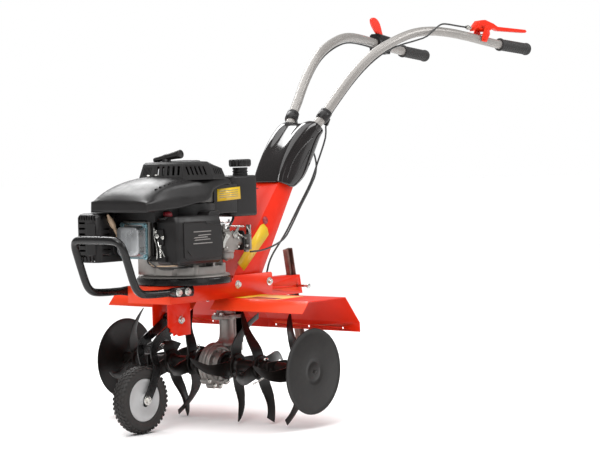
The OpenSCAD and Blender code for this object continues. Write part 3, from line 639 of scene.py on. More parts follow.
b = Build()
strap_bar(b, 1)
strap_bar(b, -1)
for s in (1, -1):
    b.prism(arc(0, 0, 17, 0, 360, 28)[:-1], 21.5, 25.9, at((166, 0, 292), (0, s, 0), (1, 0, 0)))
b.tube([(206, -21.8, 246), (206, 21.8, 246)], 8, 24)
b.tube([(262, -21.8, 226), (262, 21.8, 226)], 5, 20)
b.make("fork_legs", "black_paint", "wheel_arm", ["wheel_fork"], bevel=0.9, segs=2)
# ------------------------------------------------------------------ engine
ROWS = [
    (364, [(-100, 617), (-86, 617), (-74, 617), (-50, 617), (-20, 617), (22, 616), (54, 616), (78, 615),
           (90, 615), (103, 614)]),
    (352, [(-104, 617), (-94, 624), (-82, 627), (-56, 630), (-22, 632), (24, 631), (58, 628), (80, 625),
           (91, 621), (104, 614)]),
    (334, [(-104, 617), (-96, 634), (-86, 639), (-58, 643), (-24, 645), (25, 643), (60, 639), (83, 635),
           (93, 630), (104, 615)]),
    (300, [(-104, 617), (-97, 647), (-88, 654), (-60, 659), (-25, 661), (25, 660), (62, 656), (85, 651),
           (95, 645), (104, 616)]),
    (262, [(-104, 618), (-97, 655), (-88, 664), (-60, 670), (-25, 673), (25, 672), (64, 668), (86, 660),
           (96, 652), (104, 618)]),
    (225, [(-104, 618), (-97, 659), (-88, 669), (-60, 677), (-25, 679), (25, 679), (66, 675), (87, 665),
           (96, 656), (104, 620)]),
    (170, [(-104, 618), (-97, 661), (-88, 672), (-60, 680), (-25, 682), (25, 682), (66, 679), (87, 669),
           (96, 660), (104, 622)]),
    (124, [(-104, 618), (-97, 661), (-88, 672), (-60, 680), (-25, 682), (25, 682), (66, 679), (87, 672),
           (96, 663), (104, 624)]),
    (106, [(-104, 618), (-97, 661), (-88, 672), (-60, 680), (-25, 682), (25, 682), (64, 679), (84, 673),
           (93, 665), (99, 640)]),
    (88, [(-104, 618), (-97, 661), (-88, 672), (-60, 680), (-25, 682), (25, 682), (62, 679), (80, 674),
          (87, 668), (90, 652)]),
    (40, [(-104, 618), (-97, 660), (-88, 671), (-60, 679), (-25, 681), (22, 681), (58, 679), (74, 675),
          (80, 671), (82, 659)]),
    (10, [(-92, 618), (-86, 656), (-80, 666), (-56, 675), (-24, 677), (20, 677), (54, 676), (68, 673),
          (74, 670), (76, 661)]),
    (-2, [(-80, 618), (-76, 640), (-72, 652), (-52, 662), (-22, 664), (18, 664), (50, 663), (64, 662),
          (70, 661), (72, 656)]),
]
FOOT_L = [588, 588.5, 589, 590, 592, 595, 608, 609, 626, 646, 653, 655, 650]
b = Build()
verts = [(x + (2.5 * (1 - (y / 104) ** 2) if i == 0 else 0), y, z) for i, (x, row) in enumerate(ROWS) for y,
         z in row]
nr, nc = len(ROWS), 10
faces = [(i * nc + j, i * nc + j + 1, (i + 1) * nc + j + 1, (i + 1) * nc + j)
         for i in range(nr - 1) for j in range(nc - 1)]
rim = [(0, j) for j in range(nc)] + [(i, nc - 1) for i in range(1, nr)]
rim += [(nr - 1, j) for j in range(nc - 2, -1, -1)] + [(i, 0) for i in range(nr - 2, 0, -1)]
foot = []
for i, j in rim:
    x, y, z = verts[i * nc + j]
    if i == 0:
        f_ = (x + 1.2, y * 1.005, 588)
    elif j == nc - 1:
        f_ = (x, y + 0.4, FOOT_L[i])
    elif i == nr - 1:
        f_ = (x - 1, y, 612 if j < 6 else 645)
    else:
        f_ = (x, y - 0.4, 590)
    foot.append(len(verts))
    verts.append(f_)
n = len(rim)
for k in range(n):
    q = (k + 1) % n
    a_, c_ = rim[k], rim[q]
    faces.append((foot[k], foot[q], c_[0] * nc + c_[1], a_[0] * nc + a_[1]))
b.add(verts, faces)
rimset = {i * nc + j for i, j in rim}
pos = {tuple(round(c, 3) for c in b.v[k]): k for k in range(len(b.v))}


def dome_crease(p, q):
    i, j = pos[tuple(round(c, 3) for c in p)], pos[tuple(round(c, 3) for c in q)]
    if i in rimset and j in rimset:
        return 0.75
    if i < nr * nc and j < nr * nc and i % nc == j % nc and i % nc in (1, 8):
        return 0.62
    if i >= nr * nc and j >= nr * nc:
        return 0.55
    if max(i, j) >= nr * nc:
        k_ = min(i, j)
        return 0.5 if k_ in (0, nc - 1) else 0.0
    return 0.0


b.make("engine_shroud", "black_plastic", "chassis", ["blower_cover"], bevel=0, sub=2, solid=3.0,
              crease=dome_crease)

# the beaded strip that runs along the shroud's left shoulder
b = Build()
for k in range(17):
    t = k / 16
    x = 306 - 256 * t
    i = max(q for q in range(nr) if ROWS[q][0] >= x)
    i = min(i, nr - 2)
    f_ = (ROWS[i][0] - x) / (ROWS[i][0] - ROWS[i + 1][0])
    ya = ROWS[i][1][7][0] * (1 - f_) + ROWS[i + 1][1][7][0] * f_
    za = ROWS[i][1][7][1] * (1 - f_) + ROWS[i + 1][1][7][1] * f_
    b.prism(rrect(11, 4.4, 2.1, 4), -3, 0.9, at((x, ya - 0.5, za - 1.0), (0, 0.62, 0.78), (1, 0, -0.06)))
b.make("shroud_beads", "black_plastic", bevel=0.6)

# slotted crown over the flywheel
ANG = [0, 45, 90, 135, 180, 225, 270, 315]
FOOT_R = [115, 115, 115, 119, 116, 116, 115, 116]
RIM = [(103, 711), (103, 711), (101, 709), (109, 697), (108, 694), (107, 696), (102, 708), (103, 711)]
LID = [(97, 716), (97, 716), (94, 716), (84, 708), (78, 706), (84, 708), (95, 715), (97, 716)]
CAP = [(60, 718), (60, 718), (60, 718), (56, 717), (54, 716), (56, 717), (60, 718), (60, 718)]


def crown_solid(inset, lo, drop):
    vs, fs = [], []
    rings = [[(r_ - inset, lo) for r_ in FOOT_R], [(r_ - inset, 672) for r_ in FOOT_R],
             [(r_ - inset, z - drop) for r_, z in RIM], [(r_ - inset, z - drop) for r_, z in LID],
             [(r_ - inset, z - drop) for r_, z in CAP]]
    for ring in rings:
        for a_, (r_, z) in zip(ANG, ring):
            vs.append((118 + r_ * math.cos(math.radians(a_)), r_ * math.sin(math.radians(a_)), z))
    for i in range(len(rings) - 1):
        for j in range(8):
            s = (j + 1) % 8
            fs.append((i * 8 + j, i * 8 + s, (i + 1) * 8 + s, (i + 1) * 8 + j))
    fs.append(tuple(reversed(range(8))))
    m_ = (len(rings) - 1) * 8
    fs.append(tuple(range(m_, m_ + 8)))
    return vs, fs


b = Build().add(*crown_solid(0, 668, 0))
crown = b.make("flywheel_crown", "black_plastic", bevel=2.4, segs=3, angle=14)
cut(crown, Build().add(*crown_solid(7, 660, 5)))
c = Build()
FACETS = ((22.5, 5, 14.5, 6.4, 681, 706), (67.5, 5, 12.5, 5.0, 681, 704), (-22.5, 6, 9.0, 3.6, 682, 704),
          (112.5, 4, 13.0, 5.0, 681, 698), (157.5, 5, 13.0, 5.0, 680, 692), (202.5, 5, 13.0, 5.0, 680, 692),
          (247.5, 5, 13.0, 5.0, 681, 699), (292.5, 5, 13.0, 5.0, 681, 704))
for phi, count, pitch, w, z0, z1 in FACETS:
    d = Vector((math.cos(math.radians(phi)), math.sin(math.radians(phi)), 0))
    t_ = Vector((-d.y, d.x, 0))
    for k in range(count):
        off = (k - (count - 1) / 2) * pitch
        p = Vector((118, 0, 0)) + d * 78 + t_ * off
        lean = -0.22 if phi == 67.5 else 0.0
        out = [(-w / 2, z0), (w / 2, z0), (w / 2 + lean * (z1 - z0), z1 - w / 2)]
        out += [(x_ + lean * (z1 - z0), y_) for x_, y_ in arc(0, z1 - w / 2, w / 2, 15, 165, 5)]
        out += [(-w / 2 + lean * (z1 - z0), z1 - w / 2)]
        c.prism(out, 0, 60, Matrix((
            (t_.x, 0, d.x, p.x), (t_.y, 0, d.y, p.y), (0, 1, 0, 0), (0, 0, 0, 1))))
cut(crown, c)
for m_ in crown.modifiers:
    m_.width, m_.segments, m_.angle_limit = 0.0012, 2, math.radians(30)

b = Build()
b.lathe([(52, 716.6), (50, 719.4), (40, 720.4), (36, 719.2), (30, 719.2), (27, 720.6), (12, 721), (0, 721)],
        at((118, 0, 0), (0, 0, 1)), 48)
b.lathe([(0, 700), (13, 712), (12, 722), (9.5, 725.5), (6, 725.5), (5, 721), (0, 721)],
        at((176, 0, 0), (0, 0, 1)), 24)
b.make("recoil_boss", "black_plastic", bevel=0.5)

b = Build()
m = at((176, -45, 722.0), (0, 1, 0.16), (1, 0, 0))
b.lathe([(0, 0), (5.0, 0), (6.4, 1.4), (7.0, 6), (7.4, 20), (8.2, 40), (9.2, 62), (10.6, 82), (11.8, 93),
         (12.2, 97),
         (11.4, 99.4), (8.8, 100), (8.2, 98.0), (0, 97.6)], m, 28)
b.lathe([(5, 38), (9.4, 39), (9.4, 50), (5, 51)], m, 24)
b.make("starter_handle", "black_plastic", "starter", ["starter_grip"], bevel=0.4)

# dark fan housing behind the shroud's open underside
b = Build()
b.lathe([(60, 545), (86, 545), (90, 550), (90, 604), (84, 604), (84, 552), (60, 550)],
        at((118, 0, 0), (0, 0, 1)), 48,
        loop=True)
b.box((232.5, -70, 560), (300, 70, 596))
b.box((40, -60, 556), (232, 52, 600))
b.make("fan_housing", "black_plastic", bevel=1.5)

# fuel tank, filler neck and cap
b = Build()
b.prism(rrect(118, 112, 20, 6), 562, 675, at((-66, 12, 0)))
b.make("tank_body", "black_plastic", "chassis", ["fuel_tank"], bevel=7.0, segs=4, angle=50)
b = Build()
b.prism([(-30, 40), (40, 56), (62, 60), (70, 66), (70, 72.5), (-22, 72.5), (-30, 68)], 574, 654)
b.make("tank_shoulder", "black_plastic", bevel=3.5, segs=3, angle=40)
b = Build()
b.lathe([(21, 668), (21, 680), (19.6, 681), (19.6, 683.5), (21.6, 684.5), (21.6, 687), (19.6, 688),
         (19.6, 690.4),
         (21, 691.4), (21, 697), (17, 697), (17, 668)], at((-84, 34, 0)), 40, loop=True)
b.box((-122, -6, 636), (-10, 66.9, 638.4))
b.make("filler_neck", "black_plastic", bevel=0.4)
b = Build()


def fluted(r0, depth, count, n=96):
    return [((r0 - depth * max(0.0, math.cos(count * 2 * math.pi * k / n)) ** 2)
             * math.cos(2 * math.pi * k / n),
             (r0 - depth * max(0.0, math.cos(count * 2 * math.pi * k / n)) ** 2)
             * math.sin(2 * math.pi * k / n))
            for k in range(n)]


levels = [(0.90, 0.5, 699), (0.965, 2.2, 701), (1.0, 2.6, 705), (1.0, 2.6, 714), (0.985, 2.4, 717),
          (0.93, 1.6, 719),
          (0.80, 0.3, 720), (0.5, 0.0, 720)]
vs, fs = [], []
for s, dep, z in levels:
    vs += [(-84 + x * s, 34 + y * s, z) for x, y in fluted(31, dep, 12)]
for i in range(len(levels) - 1):
    for j in range(96):
        s = (j + 1) % 96
        fs.append((i * 96 + j, i * 96 + s, (i + 1) * 96 + s, (i + 1) * 96 + j))
fs += [tuple(reversed(range(96))), tuple(range((len(levels) - 1) * 96, len(levels) * 96))]
b.add(vs, fs)
b.make("filler_cap", "black_plastic", "cap", ["fuel_cap"], bevel=0)

# rocker cover: pressed steel on a bolted flange
b = Build()
mx = at((300, -3, 511), (1, 0, 0), (0, 1, 0))
b.prism(rrect(94, 94, 9), 0, 5, mx)
b.make("head_flange", "teal_tint", bevel=0.8)
b = Build()
b.prism(rrect(86, 86, 12), 4.5, 7.5, mx)
vs, fs = [], []
prof = [(80, 7.4), (79, 10), (77, 24), (76, 29), (73.5, 32), (68, 33), (62, 33.4)]
for w, z in prof:
    vs += [(x, y, z) for x, y in rrect(w, w, 13 * w / 80, 6)]
n = len(rrect(80, 80, 13, 6))
for i in range(len(prof) - 1):
    for j in range(n):
        s = (j + 1) % n
        fs.append((i * n + j, i * n + s, (i + 1) * n + s, (i + 1) * n + j))
fs += [tuple(reversed(range(n))), tuple(range((len(prof) - 1) * n, len(prof) * n))]
b.add(vs, fs, mx)
for k in range(3):
    b.prism(rrect(4, 52, 1.9, 4), 32.6, 34.2, mx @ Matrix.Translation((-18 + 18 * k, 0, 0)))
b.make("rocker_box", "bright_steel", "chassis", ["rocker_cover"], bevel=0.5, angle=40)
b = Build()
for y in (-44.5, 38.5):
    for z in (469.5, 552.5):
        b.bolt((306, y, z), (1, 0, 0), 4.4)
b.make("head_bolts", "teal_tint", "chassis", ["engine_bolts"], bevel=0.2)
b = Build()
b.screw((224, 6, 681), (0, 0, 1), 4.6)
b.screw((236, -10, 680), (0.1, 0, 1), 4.6)
b.make("shroud_screws", "zinc", bevel=0.2)
def on_side(y):
    """Local x runs back along the machine, local y up, local z out to the left."""
    return Matrix(((-1, 0, 0, 0), (0, 0, 1, y), (0, 1, 0, 0), (0, 0, 0, 1)))


# air cleaner housing: a deep box with a sloping shoulder, a stepped lid and a ribbed panel
b = Build()
vs, fs = [], []
n = len(rrect(176, 82, 12, 3))
for z, dw, dy in ((447, -16, -10), (449.5, -8, -5), (455, 0, 0), (556, 0, 0), (564, -1, -6), (572, -8, -16),
                  (574, -16, -22)):
    vs += [(196 + x, 94 + y + (dy / 4), z) for x, y in rrect(176 + dw, 82 + dy / 2, 12, 3)]
for i in range(6):
    for j in range(n):
        s = (j + 1) % n
        fs.append((i * n + j, i * n + s, (i + 1) * n + s, (i + 1) * n + j))
fs += [tuple(reversed(range(n))), tuple(range(6 * n, 7 * n))]
b.add(vs, fs)
b.prism([(-109, 556), (-152, 556), (-152, 574), (-146, 583), (-109, 585)], 62, 126, on_side(0))
b.make("air_cleaner", "black_plastic", "chassis", ["air_box"], bevel=1.6, segs=3, angle=24)
b = Build()
side = on_side(134.6)
b.prism([(-262, 466), (-246, 460), (-120, 460), (-114, 466), (-114, 548), (-150, 548), (-158, 556),
         (-262, 556)], 0, 3.2, side)
b.prism([(-250, 482), (-238, 470), (-236, 472), (-248, 484)], 3, 5.2, side)
b.prism([(-262, 560), (-178, 560), (-172, 551), (-150, 551), (-150, 549), (-173, 549), (-180, 557.5),
         (-262, 557.5)],
        3, 5.0, side)
b.make("air_cleaner_panel", "black_plastic", bevel=0.9, segs=2)
b = Build()
for z, x0, x1 in ((531, -226, -158), (500, -228, -154)):
    b.prism([(x0, z), (x1, z), (x1, z + 2.4), (x0, z + 2.4)], 2.8, 4.4, side)
for k, (x0, x1) in enumerate(((-224, -160), (-226, -170), (-210, -158))):
    z = 509 + 6 * k
    b.prism([(x0, z), (x1, z + 1), (x1 - 3, z + 3.4), (x0 + 5, z + 2.6)], 2.8, 3.9, side)
b.make("panel_bars", "badge_grey", bevel=0.3)
b = Build()
b.lathe([(12, 566), (13, 576), (12.6, 582), (10, 586), (5, 588), (0, 588.4)], at((256, 74, 0)), 28)
b.make("primer_bulb", "hose_red", bevel=0)
b = Build()
b.box((284.2, 40, 456), (293, 96, 470))
b.box((262, 36, 470), (290, 52, 566))
b.box((262, 50, 566), (288, 96, 573))
b.prism(rrect(22, 44, 6), 0, 5, at((284.4, 76, 520), (1, 0, 0), (0, 1, 0)))
b.make("breather_block", "black_plastic", bevel=2.0, segs=3)
b = Build()
b.tube(smooth([(292, 58, 545), (294, 60, 520), (293, 66, 500), (295, 70, 480), (292, 66, 462)], 4), 1.4, 8)
b.tube(smooth([(293, 72, 512), (296, 78, 500), (294, 86, 486), (290, 92, 470)], 4), 1.3, 8)
coil = [(292 + 3.4 * math.cos(k * 0.9), 80 + 3.4 * math.sin(k * 0.9), 500 - k * 0.55) for k in range(60)]
b.tube(coil, 0.8, 6)
b.lathe([(0, 0), (6, 0), (6, 3), (3, 4), (3, 8), (0, 8)], at((292, 70, 524), (1, 0.2, 0)), 18)
b.bolt((291, 62, 536), (1, 0, 0), 3.0)
b.bolt((291, 88, 520), (1, 0, 0), 3.0)
b.make("governor_linkage", "zinc", bevel=0.1)
b = Build()
for k, pts in enumerate((
        [(300, 40, 466), (318, 62, 452), (304, 92, 446), (276, 112, 450), (250, 126, 442)],
        [(296, 36, 460), (310, 70, 444), (284, 98, 440), (250, 118, 438), (226, 124, 440)],
        [(298, 48, 470), (326, 70, 462), (316, 100, 440), (284, 118, 437)])):
    b.tube(smooth(pts, 5), 1.9, 8)
b.make("ignition_wires", "cable_sheath", bevel=0)
b = Build()
b.tube(smooth([(300, 46, 456), (320, 78, 448), (300, 104, 446), (270, 118, 446)], 5), 1.7, 8)
b.make("earth_wire", "plug_tan", bevel=0)

# spark plug with its cap and lead
b = Build()
m = at((306, -58, 522), (42, 0, 64), (0, 1, 0))
b.lathe([(3, 0), (7.4, 0), (7.4, 5), (6.4, 6), (6.4, 9)], m, 6)
b.lathe([(6, 9), (6, 12), (4.8, 13), (4.8, 17), (5.6, 18), (4.8, 19), (4.8, 22), (5.6, 23), (4.8, 24),
         (4.8, 30),
         (6.6, 31), (7.6, 34), (7.6, 52), (6.4, 60), (4.4, 66), (3.6, 72), (0, 74)], m, 22)
b.make("plug_body", "plug_tan", "chassis", ["spark_plug"], bevel=0.2)
b = Build()
b.tube(smooth([(350, -58, 588), (344, -54, 602), (322, -46, 606), (300, -36, 600)], 5), 3.4, 10)
b.make("plug_lead", "cable_sheath", bevel=0)

# silencer guard: a rounded louvred shell
b = Build()
vs, fs = [], []
prof = [(456, 0), (574, 0), (580, 3), (584, 8), (586, 15)]
n = len(rrect(128, 84, 18, 6))
for z, d in prof:
    vs += [(316 + x, -104 + y, z) for x, y in rrect(128 - 2 * d, 84 - 2 * d, max(6, 18 - d), 6)]
for i in range(4):
    for j in range(n):
        s = (j + 1) % n
        fs.append((i * n + j, i * n + s, (i + 1) * n + s, (i + 1) * n + j))
fs += [tuple(reversed(range(n))), tuple(range(4 * n, 5 * n))]
b.add(vs, fs)
guard = b.make("silencer_guard", "black_plastic", "chassis", ["muffler_guard"], bevel=0.8, angle=40)
cut(guard, Build().prism(rrect(122, 78, 15, 6), 440, 572, at((316, -104, 0))))
c = Build()
c.box((236, -100, 484), (262, -50, 556))
for k in range(7):
    c.prism(rrect(24, 5.4, 2.5, 3), -14, 14, at((380, -121, 473 + 14.6 * k), (1, 0, 0), (0, 1, 0)))
for k in range(7):
    c.prism(rrect(4.0, 14, 1.9, 3), -9, 14, at((377, -130 + 9.2 * k, 574), (1, 0, 0.5), (0, 1, 0.3)))
for k in range(6):
    c.prism(rrect(28, 5, 2.4, 3), -14, 14, at((348, -62, 476 + 13.6 * k), (0, 1, 0), (1, 0, 0)))
for k in range(6):
    c.prism(rrect(4.0, 13, 1.9, 3), -9, 14, at((362 - 17 * k, -65, 574), (0, 1, 0.5), (1, 0, 0.3)))
for k in range(4):
    c.prism(rrect(5, 16, 2.4, 3), -14, 14, at((380, -118 + 13 * k, 466), (1, 0, 0), (0, 1, 0.2)))
cut(guard, c)
b = Build()
b.prism(rrect(34, 84, 9, 5), 0, 3.2, at((379.4, -86, 518), (1, 0, 0), (0, 1, 0)))
b.prism(rrect(50, 84, 9, 5), 0, 3.0, at((300, -62.4, 518), (0, 1, 0), (-1, 0, 0)))
b.make("guard_panels", "black_plastic", bevel=1.2, segs=2)
b = Build()
b.prism(rrect(104, 62, 18, 6), 476, 570, at((312, -104, 0)))
b.lathe([(12, -74), (12, -40), (16, -39), (16, -34), (0, -34)], at((262, -20, 524), (0, 1, 0)), 24)
b.make("silencer_can", "dark_steel", "chassis", ["muffler"], bevel=4, segs=3, angle=50)

# carburettor
b = Build()
b.box((10, 64, 474), (66, 102, 519))
b.box((24, 58, 496), (56, 66, 540))
b.lathe([(15, -14), (15, 10), (19, 12), (19, 62), (22, 64), (22, 74), (15, 74)], at((0, 83, 497), (1, 0, 0)),
        32, loop=False)
b.lathe([(0, 444.5), (4, 444.5), (4.5, 447), (8, 447.5), (16, 449), (19, 452), (20, 458), (20, 467),
         (22.4, 468.5),
         (22.4, 473), (20, 475), (0, 475)], at((37, 83, 0)), 36)
b.prism([(-34, 60), (-34, 106), (-26, 110), (-20, 106), (-20, 60), (-26, 56)], 480, 486)
b.box((-36, 68, 472), (-29, 112, 514))
b.box((-36, 60, 486), (-8, 66, 512))
b.box((20, 60, 518), (60, 100, 524))
b.box((30, 70, 524), (58, 92, 531))
b.lathe([(0, 531), (4.2, 531), (4.2, 545), (0, 545)], at((44, 82, 0)), 18)
b.lathe([(5, -38), (5, -24), (3.4, -24), (3.4, -38)], at((0, 97, 470), (1, 0, 0)), 16, loop=True)
b.make("carburettor_body", "cast_alloy", "chassis", ["carburettor"], bevel=2.2, segs=3, angle=36)
b = Build()
b.prism(rrect(50, 58, 9), 0, 5, at((80, 84, 500), (1, 0, 0), (0, 1, 0)))
b.prism(rrect(44, 54, 9), 0, 4, at((-16, 83, 498), (1, 0, 0), (0, 1, 0)))
b.lathe([(0, 84), (17, 84), (17, 108), (0, 108)], at((0, 84, 500), (1, 0, 0)), 28)
b.make("carb_gaskets", "black_plastic", bevel=0.8)
b = Build()
for p in ((-22, 62, 514), (-22, 104, 482), (12, 103, 506), (60, 103, 506), (60, 103, 482), (12, 103, 482)):
    b.bolt(p, (0, 1, 0) if p[1] > 100 else (-0.4, 0, 1), 2.8, washer=False)
for p in ((24, 66, 524), (56, 66, 524), (24, 94, 524)):
    b.screw(p, (0, 0, 1), 3.2)
b.prism([(-10, 8), (-6, -6), (6, -8), (10, 4), (30, 16), (27, 21), (4, 12)], 0, 1.8,
        at((22, 104, 512), (0, 1, 0.1), (-1, 0, 0.4)))
b.prism([(-8, -6), (8, -6), (10, 20), (4, 34), (-2, 33), (0, 20)], 0, 1.8,
        at((58, 106, 512), (0, 1, 0), (1, 0, 0.5)))
b.lathe([(0, 0), (3, 0), (3, 6), (0, 6)], at((22, 101, 512), (0, 1, 0)), 14)
b.lathe([(0, 0), (3, 0), (3, 8), (0, 8)], at((58, 101, 512), (0, 1, 0)), 14)
for a_, c_, turns in (((52, 100, 540), (-14, 102, 536), 22), ((18, 104, 520), (-26, 100, 502), 15)):
    a_, c_ = Vector(a_), Vector(c_)
    z = (c_ - a_).normalized()
    x = z.orthogonal().normalized()
    y = z.cross(x)
    pts = [a_ + z * (-6)] + [a_ + (c_ - a_) * (k / (turns * 8))
                             + (x * math.cos(k * math.pi / 4) + y * math.sin(k * math.pi / 4)) * 2.6
                             for k in range(turns * 8 + 1)] + [c_ + z * 6]
    b.tube(pts, 0.6, 5)
b.tube(smooth([(56, 104, 548), (90, 96, 560), (140, 84, 566), (190, 70, 562)], 4), 1.2, 8)
b.tube(smooth([(-26, 104, 536), (-32, 108, 520), (-30, 104, 506)], 4), 1.3, 8)
b.box((-34, 96, 506), (-31.6, 112, 540))
b.make("carb_levers", "zinc", bevel=0.2)
b = Build()
b.tube(smooth([(34, 62, 482), (20, 54, 500), (-10, 50, 530), (-34, 46, 552), (-40, 44, 566)], 5), 3.6, 12)
b.make("fuel_hose", "cable_sheath", bevel=0)

# generic labels on the tank
b = Build()
b.prism([(-57, 640), (-57, 606.5), (39, 611), (37, 644.5)], 0, 0.5, on_side(72.7))
b.make("tank_label", "sticker", bevel=0)
b = Build()
for z in (633, 627, 621, 615.5):
    b.prism([(-49, z), (28, z + 2.8), (28, z + 4.4), (-49, z + 1.6)], 0.4, 0.8, on_side(72.7))
b.make("label_rules", "badge_grey", bevel=0)
# ------------------------------------------------------------------ column cover and handles
STA = [((-234, 652), (-290, 633)), ((-237, 664), (-330, 655)), ((-246, 684), (-350, 674)),
       ((-262, 712), (-364, 694)),
       ((-282, 740), (-378, 715)), ((-304, 767), (-391, 738)), ((-328, 791), (-403, 760)),
       ((-350, 808), (-413, 778)),
       ((-372, 820), (-421, 790)), ((-390, 823), (-428, 797))]
b = Build()
vs, fs = [], []
for i, (f_, k_) in enumerate(STA):
    t = i / (len(STA) - 1)
    lobe = max(0.0, (t - 0.3) / 0.7) ** 1.5
    dip = 0.30 * lobe
    half = 55 + 7 * lobe
    sec = [(1.0, half - 3), (0.62, half + 2), (0.30, half), (0.11 - 0.02 * lobe, half * 0.93),
           (0.012, half * 0.80),
           (-0.05 * lobe, half * 0.62), (0.30 * dip, half * 0.42), (0.55 * dip, half * 0.30),
           (0.72 * dip, half * 0.13)]
    sec += [(u_, -y_) for u_, y_ in reversed(sec)]
    for u_, y_ in sec:
        vs.append((f_[0] + (k_[0] - f_[0]) * u_, y_, f_[1] + (k_[1] - f_[1]) * u_))
ns = len(sec)
for i in range(len(STA) - 1):
    for j in range(ns - 1):
        fs.append((i * ns + j, (i + 1) * ns + j, (i + 1) * ns + j + 1, i * ns + j + 1))
b.add(vs, [tuple(reversed(f_)) for f_ in fs])
VROW = {tuple(round(c, 3) for c in v_): k for k, v_ in enumerate(b.v)}


def cover_crease(p, q):
    i, j = (VROW[tuple(round(c, 3) for c in s_)] for s_ in (p, q))
    if i % ns == j % ns and i % ns in (3, 4, ns - 4, ns - 5):
        return 0.35
    if i // ns == j // ns and i // ns in (0, len(STA) - 1):
        return 0.8
    return 0.0


b.make("column_shroud", "gloss_black", "chassis", ["column_cover"], bevel=0, sub=2, solid=3.0,
       crease=cover_crease)


def on_cover(t, y, lift=0.0):
    """A point of the cover's front: t runs from foot to top."""
    q = t * (len(STA) - 1)
    i = min(int(q), len(STA) - 2)
    g = q - i
    f_ = Vector((STA[i][0][0] * (1 - g) + STA[i + 1][0][0] * g, 0,
                 STA[i][0][1] * (1 - g) + STA[i + 1][0][1] * g))
    k_ = Vector((STA[i][1][0] * (1 - g) + STA[i + 1][1][0] * g, 0,
                 STA[i][1][1] * (1 - g) + STA[i + 1][1][1] * g))
    lobe = max(0.0, (t - 0.3) / 0.7) ** 1.5
    dip = 0.30 * lobe
    half = 55 + 7 * lobe
    a_ = abs(y) / half
    tab = ((0.0, 0.74 * dip), (0.13, 0.72 * dip), (0.30, 0.55 * dip), (0.42, 0.3 * dip), (0.62, -0.05 * lobe),
           (0.80, 0.012), (0.93, 0.11), (1.0, 0.30))
    u_ = tab[-1][1]
    for (a0, u0), (a1, u1) in zip(tab, tab[1:]):
        if a0 <= a_ <= a1:
            u_ = u0 + (u1 - u0) * (a_ - a0) / (a1 - a0)
            break
    d = (f_ - k_).normalized()
    p = f_ + (k_ - f_) * u_ + d * lift
    return (p.x, y, p.z)


b = Build()
for s in (-1, 1):
    b.tube(smooth([on_cover(t, s * y, 0.2) for t, y in ((0.16, 20), (0.24, 27), (0.38, 30), (0.55, 29),
                                                        (0.72, 25),
                                                         (0.9, 19))], 5), 2.0, 10, squash=1.4)
b.tube(smooth([on_cover(0.27 + 0.11 * math.cos(a), 17 * math.sin(a), 0.1) for a in
               [2 * math.pi * k / 16 for k in range(16)]], 3, closed=True), 1.4, 8, closed=True)
b.tube(smooth([on_cover(0.72 + 0.05 * math.cos(a), 9 * math.sin(a), 0.2) for a in
               [2 * math.pi * k / 12 for k in range(12)]], 3, closed=True), 1.2, 8, closed=True)
for s in (-1, 1):
    b.tube(smooth([(-258, s * 55.6, 650), (-276, s * 57.4, 690), (-302, s * 58.6, 724), (-340, s * 60.5, 756),
                   (-378, s * 61.6, 778)], 5), 1.8, 8)
    b.tube(smooth([(-276, s * 55.8, 648), (-300, s * 57.4, 668), (-330, s * 58.8, 700), (-364, s * 60, 740)],
                  5), 1.6, 8)
b.make("cover_ribs", "gloss_black", bevel=0)
b = Build()
for s in (-1, 1):
    p = Vector((-402, s * 48, 806))
    d = Vector((-38, s * 12, 46)).normalized()
    b.lathe([(14.4, -8), (19, -8), (20.5, 0), (20.5, 8), (18.5, 10), (14.4, 10)], at(p, d), 32, loop=True)
b.make("tube_collars", "gloss_black", bevel=0.5)

LEFT_BAR = [(-318, 16, 676), (-352, 23, 735), (-407, 50, 812), (-430, 60, 838), (-478, 72, 893),
            (-545, 91, 966),
            (-617, 109, 1024), (-693, 126, 1062), (-776, 140, 1089), (-849, 156, 1098), (-931, 170, 1095),
            (-1012, 181, 1086), (-1090, 186, 1076), (-1167, 190, 1067), (-1242, 195.7, 1061.3),
            (-1316, 201.3, 1055.7)]
for side_, name in ((1, "left"), (-1, "right")):
    b = Build()
    b.tube(smooth([(x, y * side_, z) for x, y, z in LEFT_BAR], 9), 13.95, 36)
    b.make("handlebar_" + name, "handle_silver", "chassis", ["handle_tube_" + name], bevel=0)

# throttle control on the right grip
HA, HB = Vector((-1010, -180.8, 1086.3)), Vector((-1082, -185.5, 1077))
ax = (HB - HA).normalized()
up = Vector((0, 0, 1))
up = (up - ax * up.dot(ax)).normalized()
M = at(HA, ax, up)
b = Build()
b.lathe([(14.6, 0), (24, 0), (26, 4), (26, 68), (24, 72), (14.6, 72)], M, 36, loop=True)
b.prism([(-26, -18), (26, -21), (31, -15), (31, 15), (26, 21), (-26, 18)], 2, 69, M)
b.prism([(20, -10), (33, -8), (33, 8), (20, 10)], 24, 52, M)
b.prism([(-20, -9), (-29, -8), (-29, 8), (-20, 9)], 12, 56, M)
house = b.make("throttle_body", "black_plastic", "chassis", ["throttle_housing"], bevel=1.6, segs=3, angle=34)
cut(house, Build().prism([(17, -6.4), (60, -6.4), (60, 6.4), (17, 6.4)], 8, 62, M).lathe(
    [(0, -4), (14.8, -4), (14.8, 76), (0, 76)], M, 36))
b = Build()
b.screw(M @ Vector((4, -16.0, 10)), (M.to_3x3() @ Vector((0, -1, 0))), 3.6)
b.screw(M @ Vector((4, 16.0, 10)), (M.to_3x3() @ Vector((0, 1, 0))), 3.6)
b.screw(M @ Vector((4, 16.0, 60)), (M.to_3x3() @ Vector((0, 1, 0))), 3.6)
b.make("throttle_screws", "zinc", bevel=0.1)
b = Build()
L = M @ Matrix(((1, 0, 0, 26), (0, 0, -1, 0), (0, 1, 0, 35), (0, 0, 0, 1)))
axis_, perp = Vector((0.63, -0.777)), Vector((0.777, 0.63))
rim_ = []
